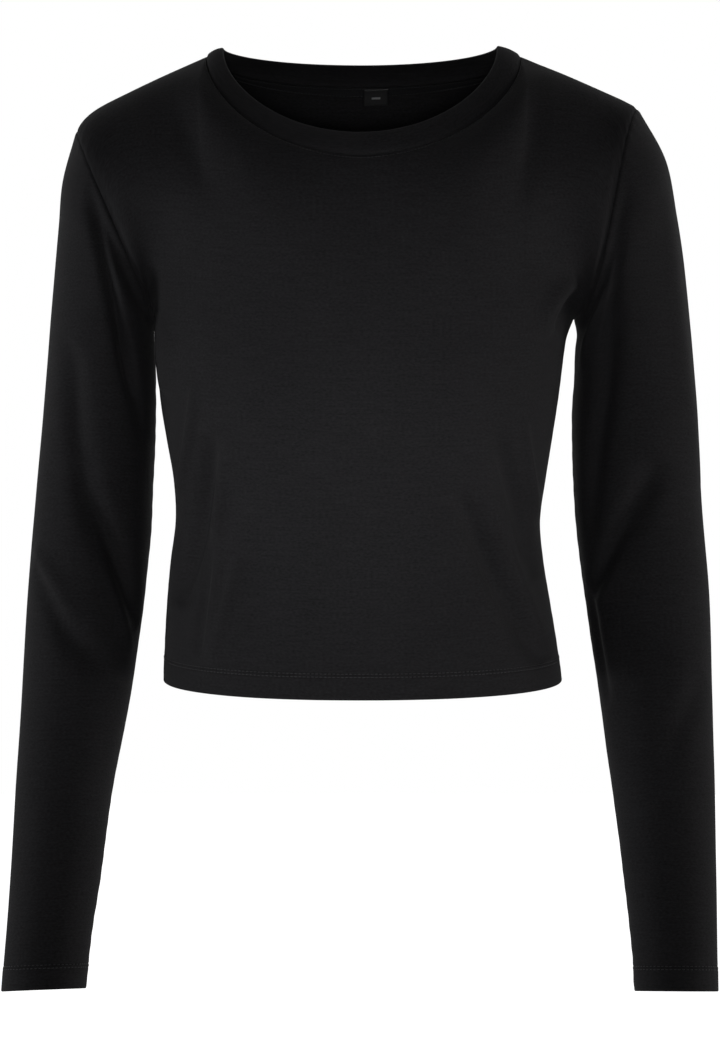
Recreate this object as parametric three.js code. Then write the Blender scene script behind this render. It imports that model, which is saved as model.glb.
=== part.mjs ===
// A long-sleeved crop top in fine jersey, filled out as if worn, with no wearer in it.
// Millimetres, +Z up, the front faces -Y and the wearer's left is +X.
// The origin is the middle of the neck opening, level with the high points of the shoulder seams.

import * as THREE from 'three';

// Cloth, in walls as thick as the layers that a maker stacks there
const CLOTH = 1.2;
const DOUBLE = 2.2;
const NARROW_GOODS = 1.0;
const SEAM = 0.3;
const LAID = 0.6;

// Hems, turned up and stitched
const HEM_Z = -442;
const HEM_DEPTH = 18;
const HEM_STEP = 1.5;
const CUFF_DEPTH = 17;

// Level of the underarm points, where the side seams end
const UNDERARM_Z = -188;

// The tube of the body below the armholes: half-widths on each side, depths to the front and back
const BODY = [
  { z: -442, right: 139.6, left: 143.4, front: 103, back: 100 },
  { z: -415, right: 138.8, left: 139.8, front: 101, back: 97 },
  { z: -386, right: 137.0, left: 134.9, front: 98.5, back: 91 },
  { z: -358, right: 134.4, left: 130.2, front: 97, back: 86 },
  { z: -328, right: 130.6, left: 127.6, front: 99, back: 83.5 },
  { z: -300, right: 131.8, left: 131.2, front: 104, back: 85 },
  { z: -272, right: 136.4, left: 135.6, front: 110.5, back: 89 },
  { z: -244, right: 140.8, left: 139.7, front: 114.5, back: 93 },
  { z: -215, right: 142.8, left: 143.1, front: 113.5, back: 95 },
  { z: -188, right: 143.4, left: 145.6, front: 109, back: 95.5 },
];
const BODY_ROUNDNESS = 2.2;

// Neck: the seam where the band is sewn on, and the band's folded edge
const NECK_SEAM = {
  front: 80, frontZ: -72.8, back: 56, backZ: -20.5, right: 107.5, left: 112.4, rightZ: -2.6, leftZ: -2.6,
};
const NECK_EDGE = {
  front: 70, frontZ: -57.3, back: 45.5, backZ: -6.5, right: 96, left: 96, rightZ: 3, leftZ: 4.4,
};
const NECK_RISE = 1.15;
const NECK_SPREAD = 0.8;
const BAND_BULGE = 1.2;

// Shoulder seams fall straight from the neck and round off over the sleeve head
const SHOULDER_ROUNDING = 14;

// Sleeves, a row for each section: share of the length, outermost and innermost points,
// middle of the depth, reach to the front and back, and forward tilt
const RIGHT_SLEEVE = [
  { at: 0, outX: 199.0, outZ: -54.9, inX: 144.8, inZ: -187, y: 3, front: 53, back: 55, tilt: 0 },
  { at: 0.059, outX: 209.1, outZ: -89.1, inX: 146.2, inZ: -198, y: 6, front: 52, back: 54, tilt: 0 },
  { at: 0.111, outX: 212.4, outZ: -120.6, inX: 145.8, inZ: -210, y: 9, front: 51, back: 53, tilt: 0 },
  { at: 0.175, outX: 216.6, outZ: -159.2, inX: 145.2, inZ: -225, y: 12, front: 50, back: 52, tilt: 0 },
  { at: 0.315, outX: 224.5, outZ: -244.1, inX: 145.4, inZ: -262, y: 15, front: 47, back: 48, tilt: 0 },
  { at: 0.433, outX: 231.6, outZ: -315.3, inX: 148.2, inZ: -319, y: 16, front: 43, back: 44, tilt: 4 },
  { at: 0.552, outX: 237.8, outZ: -386.9, inX: 153.7, inZ: -384, y: 12, front: 41, back: 41, tilt: 8 },
  { at: 0.669, outX: 241.6, outZ: -457.8, inX: 163.2, inZ: -451, y: 2, front: 38, back: 38, tilt: 11 },
  { at: 0.783, outX: 245.4, outZ: -527.2, inX: 175.6, inZ: -519, y: -12, front: 34, back: 34, tilt: 13 },
  { at: 0.897, outX: 248.8, outZ: -596.1, inX: 185.6, inZ: -590, y: -28, front: 30, back: 30, tilt: 13.6 },
  { at: 1, outX: 252.8, outZ: -658.3, inX: 193.9, inZ: -656, y: -44, front: 27, back: 27, tilt: 13.6 },
];
const LEFT_SLEEVE = [
  { at: 0, outX: 195.3, outZ: -39.6, inX: 151.4, inZ: -187, y: 3, front: 53, back: 55, tilt: 0 },
  { at: 0.059, outX: 215.3, outZ: -75.1, inX: 153.6, inZ: -198, y: 6, front: 52, back: 54, tilt: 0 },
  { at: 0.111, outX: 223.6, outZ: -113.6, inX: 152.8, inZ: -210, y: 9, front: 51, back: 53, tilt: 0 },
  { at: 0.175, outX: 229.8, outZ: -152.2, inX: 152.4, inZ: -225, y: 12, front: 50, back: 52, tilt: 0 },
  { at: 0.315, outX: 239.4, outZ: -244.1, inX: 151.4, inZ: -262, y: 15, front: 47, back: 48, tilt: 0 },
  { at: 0.433, outX: 243.8, outZ: -315.3, inX: 153.2, inZ: -319, y: 16, front: 43, back: 44, tilt: 4 },
  { at: 0.552, outX: 249.8, outZ: -386.9, inX: 160.9, inZ: -385, y: 12, front: 41, back: 41, tilt: 8 },
  { at: 0.669, outX: 251.5, outZ: -457.8, inX: 171.3, inZ: -457, y: 2, front: 38, back: 38, tilt: 11 },
  { at: 0.783, outX: 252.6, outZ: -527.2, inX: 180.4, inZ: -526, y: -12, front: 34, back: 34, tilt: 13 },
  { at: 0.897, outX: 252.7, outZ: -596.1, inX: 189.0, inZ: -595, y: -28, front: 30, back: 30, tilt: 13.6 },
  { at: 1, outX: 252.6, outZ: -658.3, inX: 194.2, inZ: -658, y: -44, front: 27, back: 27, tilt: 13.6 },
];
const SLEEVE_ROUNDNESS = 2.1;

// Front armhole seams: how far the middle lies inwards, how far the lower part swings out,
// and the share of the sleeve over which that ends
const RIGHT_ARMHOLE = { scoop: 2, swing: 0 };
const LEFT_ARMHOLE = { scoop: 0, swing: 4.5 };
const ARMHOLE_EASE = 0.1;

// The side seams widen towards the underarm, nearer the edge than FLARE_SHARE tells and over FLARE_RISE
const FLARE_SHARE = 8;
const FLARE_RISE = 8;

const SIDES = {
  right: {
    key: 'right', sign: -1, shoulderSlope: 0.465, pitFlare: 1.2, sleeve: RIGHT_SLEEVE, armhole: RIGHT_ARMHOLE,
  },
  left: {
    key: 'left', sign: 1, shoulderSlope: 0.425, pitFlare: 5.6, sleeve: LEFT_SLEEVE, armhole: LEFT_ARMHOLE,
  },
};

// Folds of the panels, a row each: three places on the fold by x and z, its half-width, and its height
// outwards, below nought for a trough
const PANEL_FOLDS = [
  { face: 'front', x: [-114, -119, -128], z: [-228, -268, -310], wide: 11, high: 3 },
  { face: 'front', x: [-99, -114, -131], z: [-238, -325, -384], wide: 16, high: -5.4 },
  { face: 'front', x: [-96, -101, -107], z: [-300, -353, -412], wide: 11, high: 3.5 },
  { face: 'front', x: [-82, -90, -99], z: [-338, -374, -408], wide: 11, high: 2.7 },
  { face: 'front', x: [-139, -134, -138], z: [-176, -202, -244], wide: 12, high: 3.4 },
  { face: 'front', x: [94, 115, 127], z: [-262, -329, -368], wide: 14, high: -5.4 },
  { face: 'front', x: [67, 89, 125], z: [-292, -350, -424], wide: 14, high: -4.3 },
  { face: 'front', x: [112, 117, 126], z: [-243, -276, -324], wide: 11, high: 3 },
  { face: 'front', x: [149, 132, 123], z: [-158, -174, -202], wide: 11, high: 4.9 },
  { face: 'front', x: [153, 147, 139], z: [-164, -176, -196], wide: 11, high: -4.1 },
  { face: 'back', x: [-58, -78, -102], z: [-284, -335, -396], wide: 16, high: -4.9 },
  { face: 'back', x: [-86, -100, -119], z: [-244, -300, -356], wide: 11, high: 3.2 },
  { face: 'back', x: [50, 74, 106], z: [-296, -345, -404], wide: 16, high: -4.3 },
  { face: 'back', x: [93, 104, 121], z: [-256, -310, -366], wide: 11, high: 3.5 },
  { face: 'back', x: [-150, -120, -94], z: [-118, -166, -222], wide: 16, high: -3.5 },
  { face: 'back', x: [151, 124, 90], z: [-116, -172, -232], wide: 16, high: -3.5 },
  { face: 'back', x: [-46, 4, 52], z: [-322, -332, -318], wide: 16, high: -2.7 },
];

// Folds of the sleeves, a row each: three places by degrees round the sleeve and share of its length
const SLEEVE_FOLDS = [
  { side: 'right', turn: [60, 88, 122], at: [0.02, 0.1, 0.24], wide: 12, high: -4.9 },
  { side: 'right', turn: [112, 126, 146], at: [0.15, 0.23, 0.32], wide: 11, high: -3.5 },
  { side: 'right', turn: [60, 76, 98], at: [0.21, 0.36, 0.48], wide: 14, high: -4.1 },
  { side: 'right', turn: [94, 125, 150], at: [0.43, 0.534, 0.66], wide: 13, high: -6.2 },
  { side: 'right', turn: [10, 44, 92], at: [0.495, 0.555, 0.62], wide: 11, high: -4.3 },
  { side: 'right', turn: [2, 32, 66], at: [0.465, 0.52, 0.555], wide: 11, high: 2.7 },
  { side: 'right', turn: [305, 272, 236], at: [0.2, 0.33, 0.44], wide: 14, high: -4.1 },
  { side: 'right', turn: [338, 290, 232], at: [0.5, 0.545, 0.6], wide: 12, high: -4.6 },
  { side: 'left', turn: [86, 118, 130], at: [0.03, 0.1, 0.28], wide: 12, high: -4.9 },
  { side: 'left', turn: [128, 133, 130], at: [0.25, 0.342, 0.43], wide: 11, high: -3.5 },
  { side: 'left', turn: [102, 129, 152], at: [0.03, 0.1, 0.24], wide: 11, high: 3.2 },
  { side: 'left', turn: [74, 100, 128], at: [0.375, 0.455, 0.52], wide: 13, high: -5.7 },
  { side: 'left', turn: [124, 151, 142], at: [0.49, 0.58, 0.68], wide: 13, high: -5.7 },
  { side: 'left', turn: [30, 42, 20], at: [0.08, 0.224, 0.42], wide: 14, high: 2.7 },
  { side: 'left', turn: [290, 258, 232], at: [0.24, 0.36, 0.47], wide: 14, high: -4.1 },
  { side: 'left', turn: [335, 285, 228], at: [0.46, 0.53, 0.57], wide: 12, high: -4.6 },
];
const FOLD_STEPS = 12;
const FOLD_TAPER = 0.7;
const SEAM_FADE = 0.07;
const SLEEVE_RADIUS = 45;
const SLEEVE_LENGTH = 606;

// Narrow goods inside the back neck
const TAPE_HEIGHT = 8;
const TAPE_DROP = 0.6;
const TAPE_REACH = 0.95;
const LABEL = { middle: 11.5, width: 18, height: 14, drop: 1.4 };
const LABEL_REACH = 4;

// Grid: columns from the middle to the neck point and on to the armhole, rows below and above the underarm
const NECK_COLUMNS = 10;
const SHOULDER_COLUMNS = 7;
const FRONT_ROWS = 16;
const BACK_ROWS = 11;
const ARMHOLE_ROWS = 12;
const SLEEVE_ROWS = 23;
const BAND_ROWS = 3;

// Shares of a panel: from its middle to the neck point, and from the hem up to the underarm
const NECK_SHARE = 0.5;
const BODY_SHARE = 0.56;

// The corner at the neck point, eased over this share of the top edge and held near that edge only
const CORNER_EASE = 0.2;
const CORNER_HOLD = 8;
const EASE_TAPS = 8;

// How near its edge a panel bends to the armhole seam: widely at the top, closely at the underarm
const EDGE_HOLD_TOP = 4;
const EDGE_HOLD_LOW = 14;

const STEP = 0.002;

// Points lie on a grid of this many to a millimetre, which every file holds exactly
const GRID = 256;

const vec = (x, y, z) => new THREE.Vector3(x, y, z);
const lerp = THREE.MathUtils.lerp;
const steps = (count, from, to) => Array.from({ length: count + 1 }, (_, i) => lerp(from, to, i / count));

/** Value of one column of a table at a place between its rows, on a smooth curve through them. */
function along(rows, column, place, key) {
  let i = 0;
  while (i < rows.length - 2 && rows[i + 1][column] < place) i += 1;
  const slope = (j) => {
    const before = rows[Math.max(j - 1, 0)];
    const after = rows[Math.min(j + 1, rows.length - 1)];
    return (after[key] - before[key]) / (after[column] - before[column]);
  };
  const span = rows[i + 1][column] - rows[i][column];
  const t = (place - rows[i][column]) / span;
  return hermite(rows[i][key], slope(i) * span, rows[i + 1][key], slope(i + 1) * span, t);
}

function hermite(start, startSlope, end, endSlope, t) {
  const u = 1 - t;
  return (1 + 2 * t) * u * u * start + t * u * u * startSlope
    + t * t * (3 - 2 * t) * end - t * t * u * endSlope;
}

/** A circle's cosine or sine, squared off a little as on cloth that is held out. */
const squared = (value, roundness) => Math.sign(value) * Math.abs(value) ** (2 / roundness);

/** Point of a sleeve: turn 0 is its outer line, a quarter turn its front and a half turn its inner line. */
function sleevePoint(side, at, turn) {
  const value = (key) => along(side.sleeve, 'at', at, key);
  const outX = value('outX');
  const outZ = value('outZ');
  const inX = value('inX');
  const inZ = value('inZ');
  const across = squared(Math.cos(turn), SLEEVE_ROUNDNESS) / 2;
  const forward = squared(Math.sin(turn), SLEEVE_ROUNDNESS);
  const reach = forward * (forward > 0 ? value('front') : value('back'));
  const tilt = THREE.MathUtils.degToRad(value('tilt'));
  const { scoop, swing } = side.armhole;
  const bow = forward > 0 ? scoop * forward ** 2 + swing * Math.sin(2 * turn) : 0;
  const inwards = bow * Math.exp(-at / ARMHOLE_EASE);
  const length = Math.hypot(outX - inX, outZ - inZ);
  const x = (outX + inX) / 2 + across * (outX - inX) - inwards * (outZ - inZ) / length;
  const z = (outZ + inZ) / 2 + across * (outZ - inZ) + inwards * (outX - inX) / length;
  return vec(side.sign * x, value('y') - reach * Math.cos(tilt), z + reach * Math.sin(tilt));
}

/** Direction along the upper arm at the armhole, square to the plane of the armhole. */
function armholeAxis(side) {
  const { outX, outZ, inX, inZ } = side.sleeve[0];
  return vec(side.sign * (outZ - inZ), 0, inX - outX).normalize();
}

/** Outward direction at the armhole seam, in its plane and upright at the underarm. */
function armholeNormal(side, turn) {
  const ahead = sleevePoint(side, 0, turn + STEP).sub(sleevePoint(side, 0, turn - STEP));
  const axis = armholeAxis(side);
  const outward = ahead.cross(axis).normalize();
  const middle = sleevePoint(side, 0, 0).add(sleevePoint(side, 0, Math.PI)).divideScalar(2);
  if (outward.dot(sleevePoint(side, 0, turn).sub(middle)) < 0) outward.negate();
  const lean = (side.sleeve[0].outX - side.sleeve[0].inX) / (side.sleeve[0].outZ - side.sleeve[0].inZ);
  const low = ((1 - Math.cos(turn)) / 2) ** 2;
  return outward.addScaledVector(axis, lean * low).normalize();
}

/** Point of a loop round the neck: turn 0 is the front middle and a quarter turn the side. */
function neckPoint(loop, side, turn) {
  const forward = Math.cos(turn);
  const reach = forward > 0 ? loop.front : loop.back;
  const fall = Math.abs(forward) ** NECK_RISE;
  const z = lerp(loop[`${side.key}Z`], forward > 0 ? loop.frontZ : loop.backZ, fall);
  const y = -reach * Math.sign(forward) * Math.abs(forward) ** NECK_SPREAD;
  return vec(side.sign * loop[side.key] * Math.sin(turn), y, z);
}

function bandDirection(side, turn) {
  return neckPoint(NECK_EDGE, side, turn).sub(neckPoint(NECK_SEAM, side, turn)).normalize();
}

function neckTangent(side, turn) {
  return neckPoint(NECK_SEAM, side, turn + STEP).sub(neckPoint(NECK_SEAM, side, turn - STEP)).normalize();
}

/** Outward direction of the neckband and of the panels where they meet it. */
function neckNormal(side, turn) {
  return bandDirection(side, turn).cross(neckTangent(side, turn)).multiplyScalar(-side.sign).normalize();
}

/** Point of the shoulder seam, from the neck to the sleeve head. */
function shoulderPoint(side, share) {
  const quarter = Math.PI / 2;
  const neck = neckPoint(NECK_SEAM, side, quarter).addScaledVector(bandDirection(side, quarter), -SEAM);
  const { outX, outZ } = side.sleeve[0];
  const out = lerp(0, outX - Math.abs(neck.x), share);
  const drop = neck.z - side.shoulderSlope * (outX - Math.abs(neck.x)) - outZ;
  const fall = side.shoulderSlope * out + drop * share ** SHOULDER_ROUNDING;
  return vec(neck.x + side.sign * out, 0, neck.z - fall);
}

/** Point of the body's tube at a level: share 0 is the front or back middle and 1 the side seam. */
function ringPoint(face, side, share, z) {
  const turn = share * Math.PI / 2;
  const flare = side.pitFlare * share ** FLARE_SHARE * Math.exp((z - UNDERARM_Z) / FLARE_RISE);
  const x = along(BODY, 'z', z, side.key) * squared(Math.sin(turn), BODY_ROUNDNESS) + flare;
  const y = along(BODY, 'z', z, face.key) * squared(Math.cos(turn), BODY_ROUNDNESS);
  return vec(side.sign * x, -face.sign * y, z);
}

/** Point of a panel's top edge: the neck seam up to the neck point, and the shoulder seam after it. */
function topEdge(face, side, share) {
  if (share >= NECK_SHARE) return shoulderPoint(side, (share - NECK_SHARE) / (1 - NECK_SHARE));
  const turn = neckTurn(face, Math.abs(share));
  const point = neckPoint(NECK_SEAM, side, turn).addScaledVector(bandDirection(side, turn), -SEAM);
  if (share < 0) point.x = -point.x;
  return point;
}

function neckTurn(face, share) {
  const turn = Math.min(share / NECK_SHARE, 1) * Math.PI / 2;
  return face.sign > 0 ? turn : Math.PI - turn;
}

/** The top edge with its corner at the neck point eased, as the cloth lies lower down. */
function easedEdge(face, side, share) {
  const reach = Math.min(CORNER_EASE, 1 - share);
  const sum = vec(0, 0, 0);
  for (const shift of steps(EASE_TAPS, -reach, reach)) sum.add(topEdge(face, side, share + shift));
  return sum.divideScalar(EASE_TAPS + 1);
}

/** Point of a panel over the chest or the shoulder blades, between the tube and its top edge. */
function yokePoint(face, side, share, rise) {
  const column = (s) => {
    const low = ringPoint(face, side, s, UNDERARM_Z);
    const level = low.clone().sub(ringPoint(face, side, s, UNDERARM_Z - 1));
    const high = easedEdge(face, side, s).lerp(topEdge(face, side, s), rise ** CORNER_HOLD);
    const start = level.multiplyScalar(high.z - low.z);
    const turn = Math.min(s / NECK_SHARE, 1) * Math.PI / 2;
    const end = bandDirection(side, neckTurn(face, s)).multiplyScalar(Math.cos(turn));
    end.add(vec(0, face.sign * Math.sin(turn), 0)).normalize();
    end.multiplyScalar(lerp(face.neckPull, face.shoulderPull, Math.sin(turn)));
    const at = (key) => hermite(low[key], start[key], high[key], end[key], rise);
    return vec(at('x'), at('y'), at('z'));
  };
  const edge = sleevePoint(side, 0, Math.PI * (1 - face.sign * rise));
  edge.addScaledVector(armholeAxis(side), -SEAM);
  const weight = share ** (EDGE_HOLD_TOP + EDGE_HOLD_LOW * (1 - rise) ** 3);
  return column(share).addScaledVector(edge.sub(column(1)), weight);
}

/** Point of a panel: across runs from -1 at the right edge to 1 at the left, up from 0 at the hem to 1. */
function panelPoint(face, across, up) {
  const side = across < 0 ? SIDES.right : SIDES.left;
  const share = Math.abs(across);
  if (up < BODY_SHARE) return ringPoint(face, side, share, lerp(HEM_Z, UNDERARM_Z, up / BODY_SHARE));
  return yokePoint(face, side, share, (up - BODY_SHARE) / (1 - BODY_SHARE));
}

/** Height of one fold at a place, from the nearest point of its curve. */
function foldHeight(fold, a, b, place) {
  const bend = (three, t) => {
    const control = 2 * three[1] - (three[0] + three[2]) / 2;
    return (1 - t) ** 2 * three[0] + 2 * t * (1 - t) * control + t * t * three[2];
  };
  let nearest = Infinity;
  let share = 0;
  for (const t of steps(FOLD_STEPS, 0, 1)) {
    const gap = Math.hypot(bend(a, t) - place[0], bend(b, t) - place[1]);
    if (gap < nearest) {
      nearest = gap;
      share = t;
    }
  }
  return fold.high * (4 * share * (1 - share)) ** FOLD_TAPER * Math.exp(-((nearest / fold.wide) ** 2));
}

const seamFade = (gap) => THREE.MathUtils.smoothstep(gap, 0, SEAM_FADE);

function panelRelief(face, across, up) {
  const { x, z } = panelPoint(face, across, up);
  const folds = PANEL_FOLDS.filter((fold) => fold.face === face.key);
  const height = folds.reduce((sum, fold) => sum + foldHeight(fold, fold.x, fold.z, [x, z]), 0);
  return height * seamFade(1 - Math.abs(across)) * seamFade(1 - up);
}

function sleeveRelief(side, turn, at) {
  const round = THREE.MathUtils.degToRad(SLEEVE_RADIUS);
  const place = [THREE.MathUtils.radToDeg(turn) * round, at * SLEEVE_LENGTH];
  const folds = SLEEVE_FOLDS.filter((fold) => fold.side === side.key);
  const height = folds.reduce((sum, fold) => {
    const turns = fold.turn.map((degrees) => degrees * round);
    const ways = fold.at.map((share) => share * SLEEVE_LENGTH);
    return sum + foldHeight(fold, turns, ways, place);
  }, 0);
  return height * seamFade(at);
}

/** Outward direction of a smooth surface, from its points just beside this one. */
function surfaceNormal(point, a, b, limits, inside) {
  const { lowA, highA, lowB, highB } = limits;
  const alongA = point(Math.min(a + STEP, highA), b).sub(point(Math.max(a - STEP, lowA), b));
  const alongB = point(a, Math.min(b + STEP, highB)).sub(point(a, Math.max(b - STEP, lowB)));
  const normal = alongA.cross(alongB).normalize();
  if (normal.dot(point(a, b).sub(inside)) < 0) normal.negate();
  return normal;
}

function panelNormal(face, across, up) {
  const side = across < 0 ? SIDES.right : SIDES.left;
  const share = Math.abs(across);
  const rise = (up - BODY_SHARE) / (1 - BODY_SHARE);
  if (share > 1 - STEP && rise > -STEP) {
    return armholeNormal(side, Math.PI * (1 - face.sign * Math.max(rise, 0)));
  }
  if (rise > 1 - STEP && share <= NECK_SHARE) return neckNormal(side, neckTurn(face, share));
  const limits = { lowA: -1, highA: 1, lowB: 0, highB: 1 };
  const inside = vec(0, 0, Math.min(panelPoint(face, across, up).z, UNDERARM_Z));
  const normal = surfaceNormal((a, b) => panelPoint(face, a, b), across, up, limits, inside);
  if (share > 1 - STEP || rise > 1 - STEP) normal.setY(0).normalize();
  return normal;
}

const FACES = {
  front: { key: 'front', sign: 1, neckPull: 110, shoulderPull: 150, rows: FRONT_ROWS },
  back: { key: 'back', sign: -1, neckPull: 150, shoulderPull: 150, rows: BACK_ROWS },
};

const onGrid = (value) => Math.round(value * GRID) / GRID;

/** A closed solid from a grid of outer points and one of inner points, open at its edges or wrapped round. */
function wallSolid(outer, inner, wrapped) {
  const rows = outer.length;
  const columns = outer[0].length;
  const positions = [];
  for (const p of [...outer, ...inner].flat()) positions.push(...p.toArray().map(onGrid));
  const index = (layer, i, j) => layer * rows * columns + i * columns + (j % columns);
  const triangles = [];
  const quad = (a, b, c, d) => triangles.push(a, b, d, b, c, d);
  const lastColumn = wrapped ? columns : columns - 1;
  for (let i = 0; i < rows - 1; i += 1) {
    for (let j = 0; j < lastColumn; j += 1) {
      quad(index(0, i, j), index(0, i, j + 1), index(0, i + 1, j + 1), index(0, i + 1, j));
      quad(index(1, i, j), index(1, i + 1, j), index(1, i + 1, j + 1), index(1, i, j + 1));
    }
  }
  for (let j = 0; j < lastColumn; j += 1) {
    quad(index(0, 0, j + 1), index(0, 0, j), index(1, 0, j), index(1, 0, j + 1));
    quad(index(0, rows - 1, j), index(0, rows - 1, j + 1), index(1, rows - 1, j + 1), index(1, rows - 1, j));
  }
  const last = columns - 1;
  for (let i = 0; i < rows - 1 && !wrapped; i += 1) {
    quad(index(0, i, 0), index(0, i + 1, 0), index(1, i + 1, 0), index(1, i, 0));
    quad(index(0, i + 1, last), index(0, i, last), index(1, i, last), index(1, i + 1, last));
  }
  if (signedVolume(positions, triangles) < 0) triangles.reverse();
  const geometry = new THREE.BufferGeometry();
  geometry.setAttribute('position', new THREE.Float32BufferAttribute(positions, 3));
  geometry.setIndex(triangles);
  geometry.computeVertexNormals();
  return geometry;
}

function signedVolume(positions, triangles) {
  const corner = (i) => vec(positions[3 * i], positions[3 * i + 1], positions[3 * i + 2]);
  let sum = 0;
  for (let i = 0; i < triangles.length; i += 3) {
    sum += corner(triangles[i]).dot(corner(triangles[i + 1]).cross(corner(triangles[i + 2])));
  }
  return sum / 6;
}

/** Grid of points raised along their outward directions, turned into a wall that may change by row. */
function sheet(rows, columns, point, normal, relief, wall, wrapped = false) {
  const layer = (depth) => rows.map((row) => columns.map((column) => (
    point(column, row).addScaledVector(normal(column, row), relief(column, row) - depth(row)))));
  return wallSolid(layer(() => 0), layer(wall), wrapped);
}

const plain = () => 0;

function panelColumns() {
  const half = [...steps(NECK_COLUMNS, 0, NECK_SHARE), ...steps(SHOULDER_COLUMNS, NECK_SHARE, 1).slice(1)];
  return [...half.slice(1).reverse().map((share) => -share), ...half];
}

function panelRows(face) {
  const upOf = (z) => (z - HEM_Z) / (UNDERARM_Z - HEM_Z) * BODY_SHARE;
  const hemTop = HEM_Z + HEM_DEPTH;
  return [
    0, upOf(hemTop), upOf(hemTop + HEM_STEP),
    ...steps(face.rows - 2, upOf(hemTop + HEM_STEP), BODY_SHARE).slice(1),
    ...steps(ARMHOLE_ROWS, BODY_SHARE, 1).slice(1),
  ];
}

function panelGeometry(face) {
  const hemTop = HEM_DEPTH / (UNDERARM_Z - HEM_Z) * BODY_SHARE;
  const wall = (up) => (up < hemTop + STEP / 10 ? DOUBLE : CLOTH);
  const point = (across, up) => panelPoint(face, across, up).add(vec(0, -face.sign * SEAM / 2, 0));
  const normal = (across, up) => panelNormal(face, across, up);
  const relief = (across, up) => panelRelief(face, across, up);
  return sheet(panelRows(face), panelColumns(), point, normal, relief, wall);
}

function sleeveNormal(side, turn, at) {
  if (at < STEP) return armholeNormal(side, turn);
  const value = (key) => along(side.sleeve, 'at', at, key);
  const middleX = side.sign * (value('outX') + value('inX')) / 2;
  const inside = vec(middleX, value('y'), (value('outZ') + value('inZ')) / 2);
  const limits = { lowA: -Infinity, highA: Infinity, lowB: 0, highB: 1 };
  return surfaceNormal((a, b) => sleevePoint(side, b, a), turn, at, limits, inside);
}

function sleeveGeometry(side) {
  const [head, cuff] = [side.sleeve[0], side.sleeve.at(-1)];
  const length = Math.hypot(head.outX - cuff.outX, head.outZ - cuff.outZ);
  const hemTop = 1 - CUFF_DEPTH / length;
  const rows = [...steps(SLEEVE_ROWS, 0, hemTop - HEM_STEP / length), hemTop, 1];
  const turns = steps(2 * ARMHOLE_ROWS, 0, 2 * Math.PI).slice(0, -1);
  const wall = (at) => (at > hemTop - STEP / 10 ? DOUBLE : CLOTH);
  const point = (turn, at) => sleevePoint(side, at, turn);
  const normal = (turn, at) => sleeveNormal(side, turn, at);
  const relief = (turn, at) => sleeveRelief(side, turn, at);
  return sheet(rows, turns, point, normal, relief, wall, true);
}

const sideOfTurn = (turn) => (turn < Math.PI ? SIDES.left : SIDES.right);
const halfTurn = (turn) => (turn < Math.PI ? turn : 2 * Math.PI - turn);

function bandGeometry() {
  const turns = steps(4 * NECK_COLUMNS, 0, 2 * Math.PI).slice(0, -1);
  const normal = (turn) => neckNormal(sideOfTurn(turn), halfTurn(turn));
  const point = (turn, up) => {
    const low = neckPoint(NECK_SEAM, sideOfTurn(turn), halfTurn(turn));
    const high = neckPoint(NECK_EDGE, sideOfTurn(turn), halfTurn(turn));
    return low.lerp(high, up).addScaledVector(normal(turn), BAND_BULGE * 4 * up * (1 - up));
  };
  return sheet(steps(BAND_ROWS, 0, 1), turns, point, normal, plain, () => DOUBLE, true);
}

/** Place on the back panel's inner face, a given way down from the neck seam, with its direction. */
function insideBack(across, drop) {
  const face = FACES.back;
  const columns = panelColumns();
  const next = columns.findIndex((column) => column >= across);
  const share = (across - columns[next - 1]) / (columns[next] - columns[next - 1]);
  const rows = panelRows(face).slice(-LABEL_REACH).reverse();
  const places = rows.map((up) => {
    const [before, after] = [columns[next - 1], columns[next]].map((column) => {
      const normal = panelNormal(face, column, up);
      return { normal, point: panelPoint(face, column, up).addScaledVector(normal, -CLOTH) };
    });
    return { normal: before.normal.lerp(after.normal, share), point: before.point.lerp(after.point, share) };
  });
  let i = 0;
  let left = drop;
  let length = places[0].point.distanceTo(places[1].point);
  while (left > length) {
    left -= length;
    i += 1;
    length = places[i].point.distanceTo(places[i + 1].point);
  }
  const point = places[i].point.clone().lerp(places[i + 1].point, left / length).add(vec(0, SEAM / 2, 0));
  const normal = places[i].normal.clone().lerp(places[i + 1].normal, left / length).normalize();
  return { point, normal };
}

/** Narrow goods that lie inside the back panel, a layer's depth in from its inner face. */
function insideGoods(columns, drops, layer) {
  const point = (across, drop) => {
    const place = insideBack(across, drop);
    return place.point.addScaledVector(place.normal, -layer);
  };
  const normal = (across, drop) => insideBack(across, drop).normal;
  return sheet(drops, columns, point, normal, plain, () => NARROW_GOODS);
}

function tapeGeometry() {
  const columns = panelColumns().filter((across) => Math.abs(across) < NECK_SHARE * TAPE_REACH);
  return insideGoods(columns, steps(2, TAPE_DROP, TAPE_DROP + TAPE_HEIGHT), LAID);
}

function labelGeometry() {
  const acrossOf = (x) => Math.asin(x / NECK_SEAM.left) / (Math.PI / 2) * NECK_SHARE;
  const [right, left] = [LABEL.middle - LABEL.width / 2, LABEL.middle + LABEL.width / 2];
  const columns = steps(3, acrossOf(right), acrossOf(left));
  const drops = steps(3, LABEL.drop, LABEL.drop + LABEL.height);
  return insideGoods(columns, drops, LAID + NARROW_GOODS + SEAM);
}

function piece(name, geometry, look) {
  const mesh = new THREE.Mesh(geometry, new THREE.MeshStandardMaterial({ ...look, metalness: 0 }));
  mesh.name = name;
  return mesh;
}

const JERSEY = { color: '#17171a', roughness: 0.85 };
const TAPE = { color: '#141417', roughness: 0.8 };
const WOVEN = { color: '#0e0e10', roughness: 0.6 };

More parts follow.
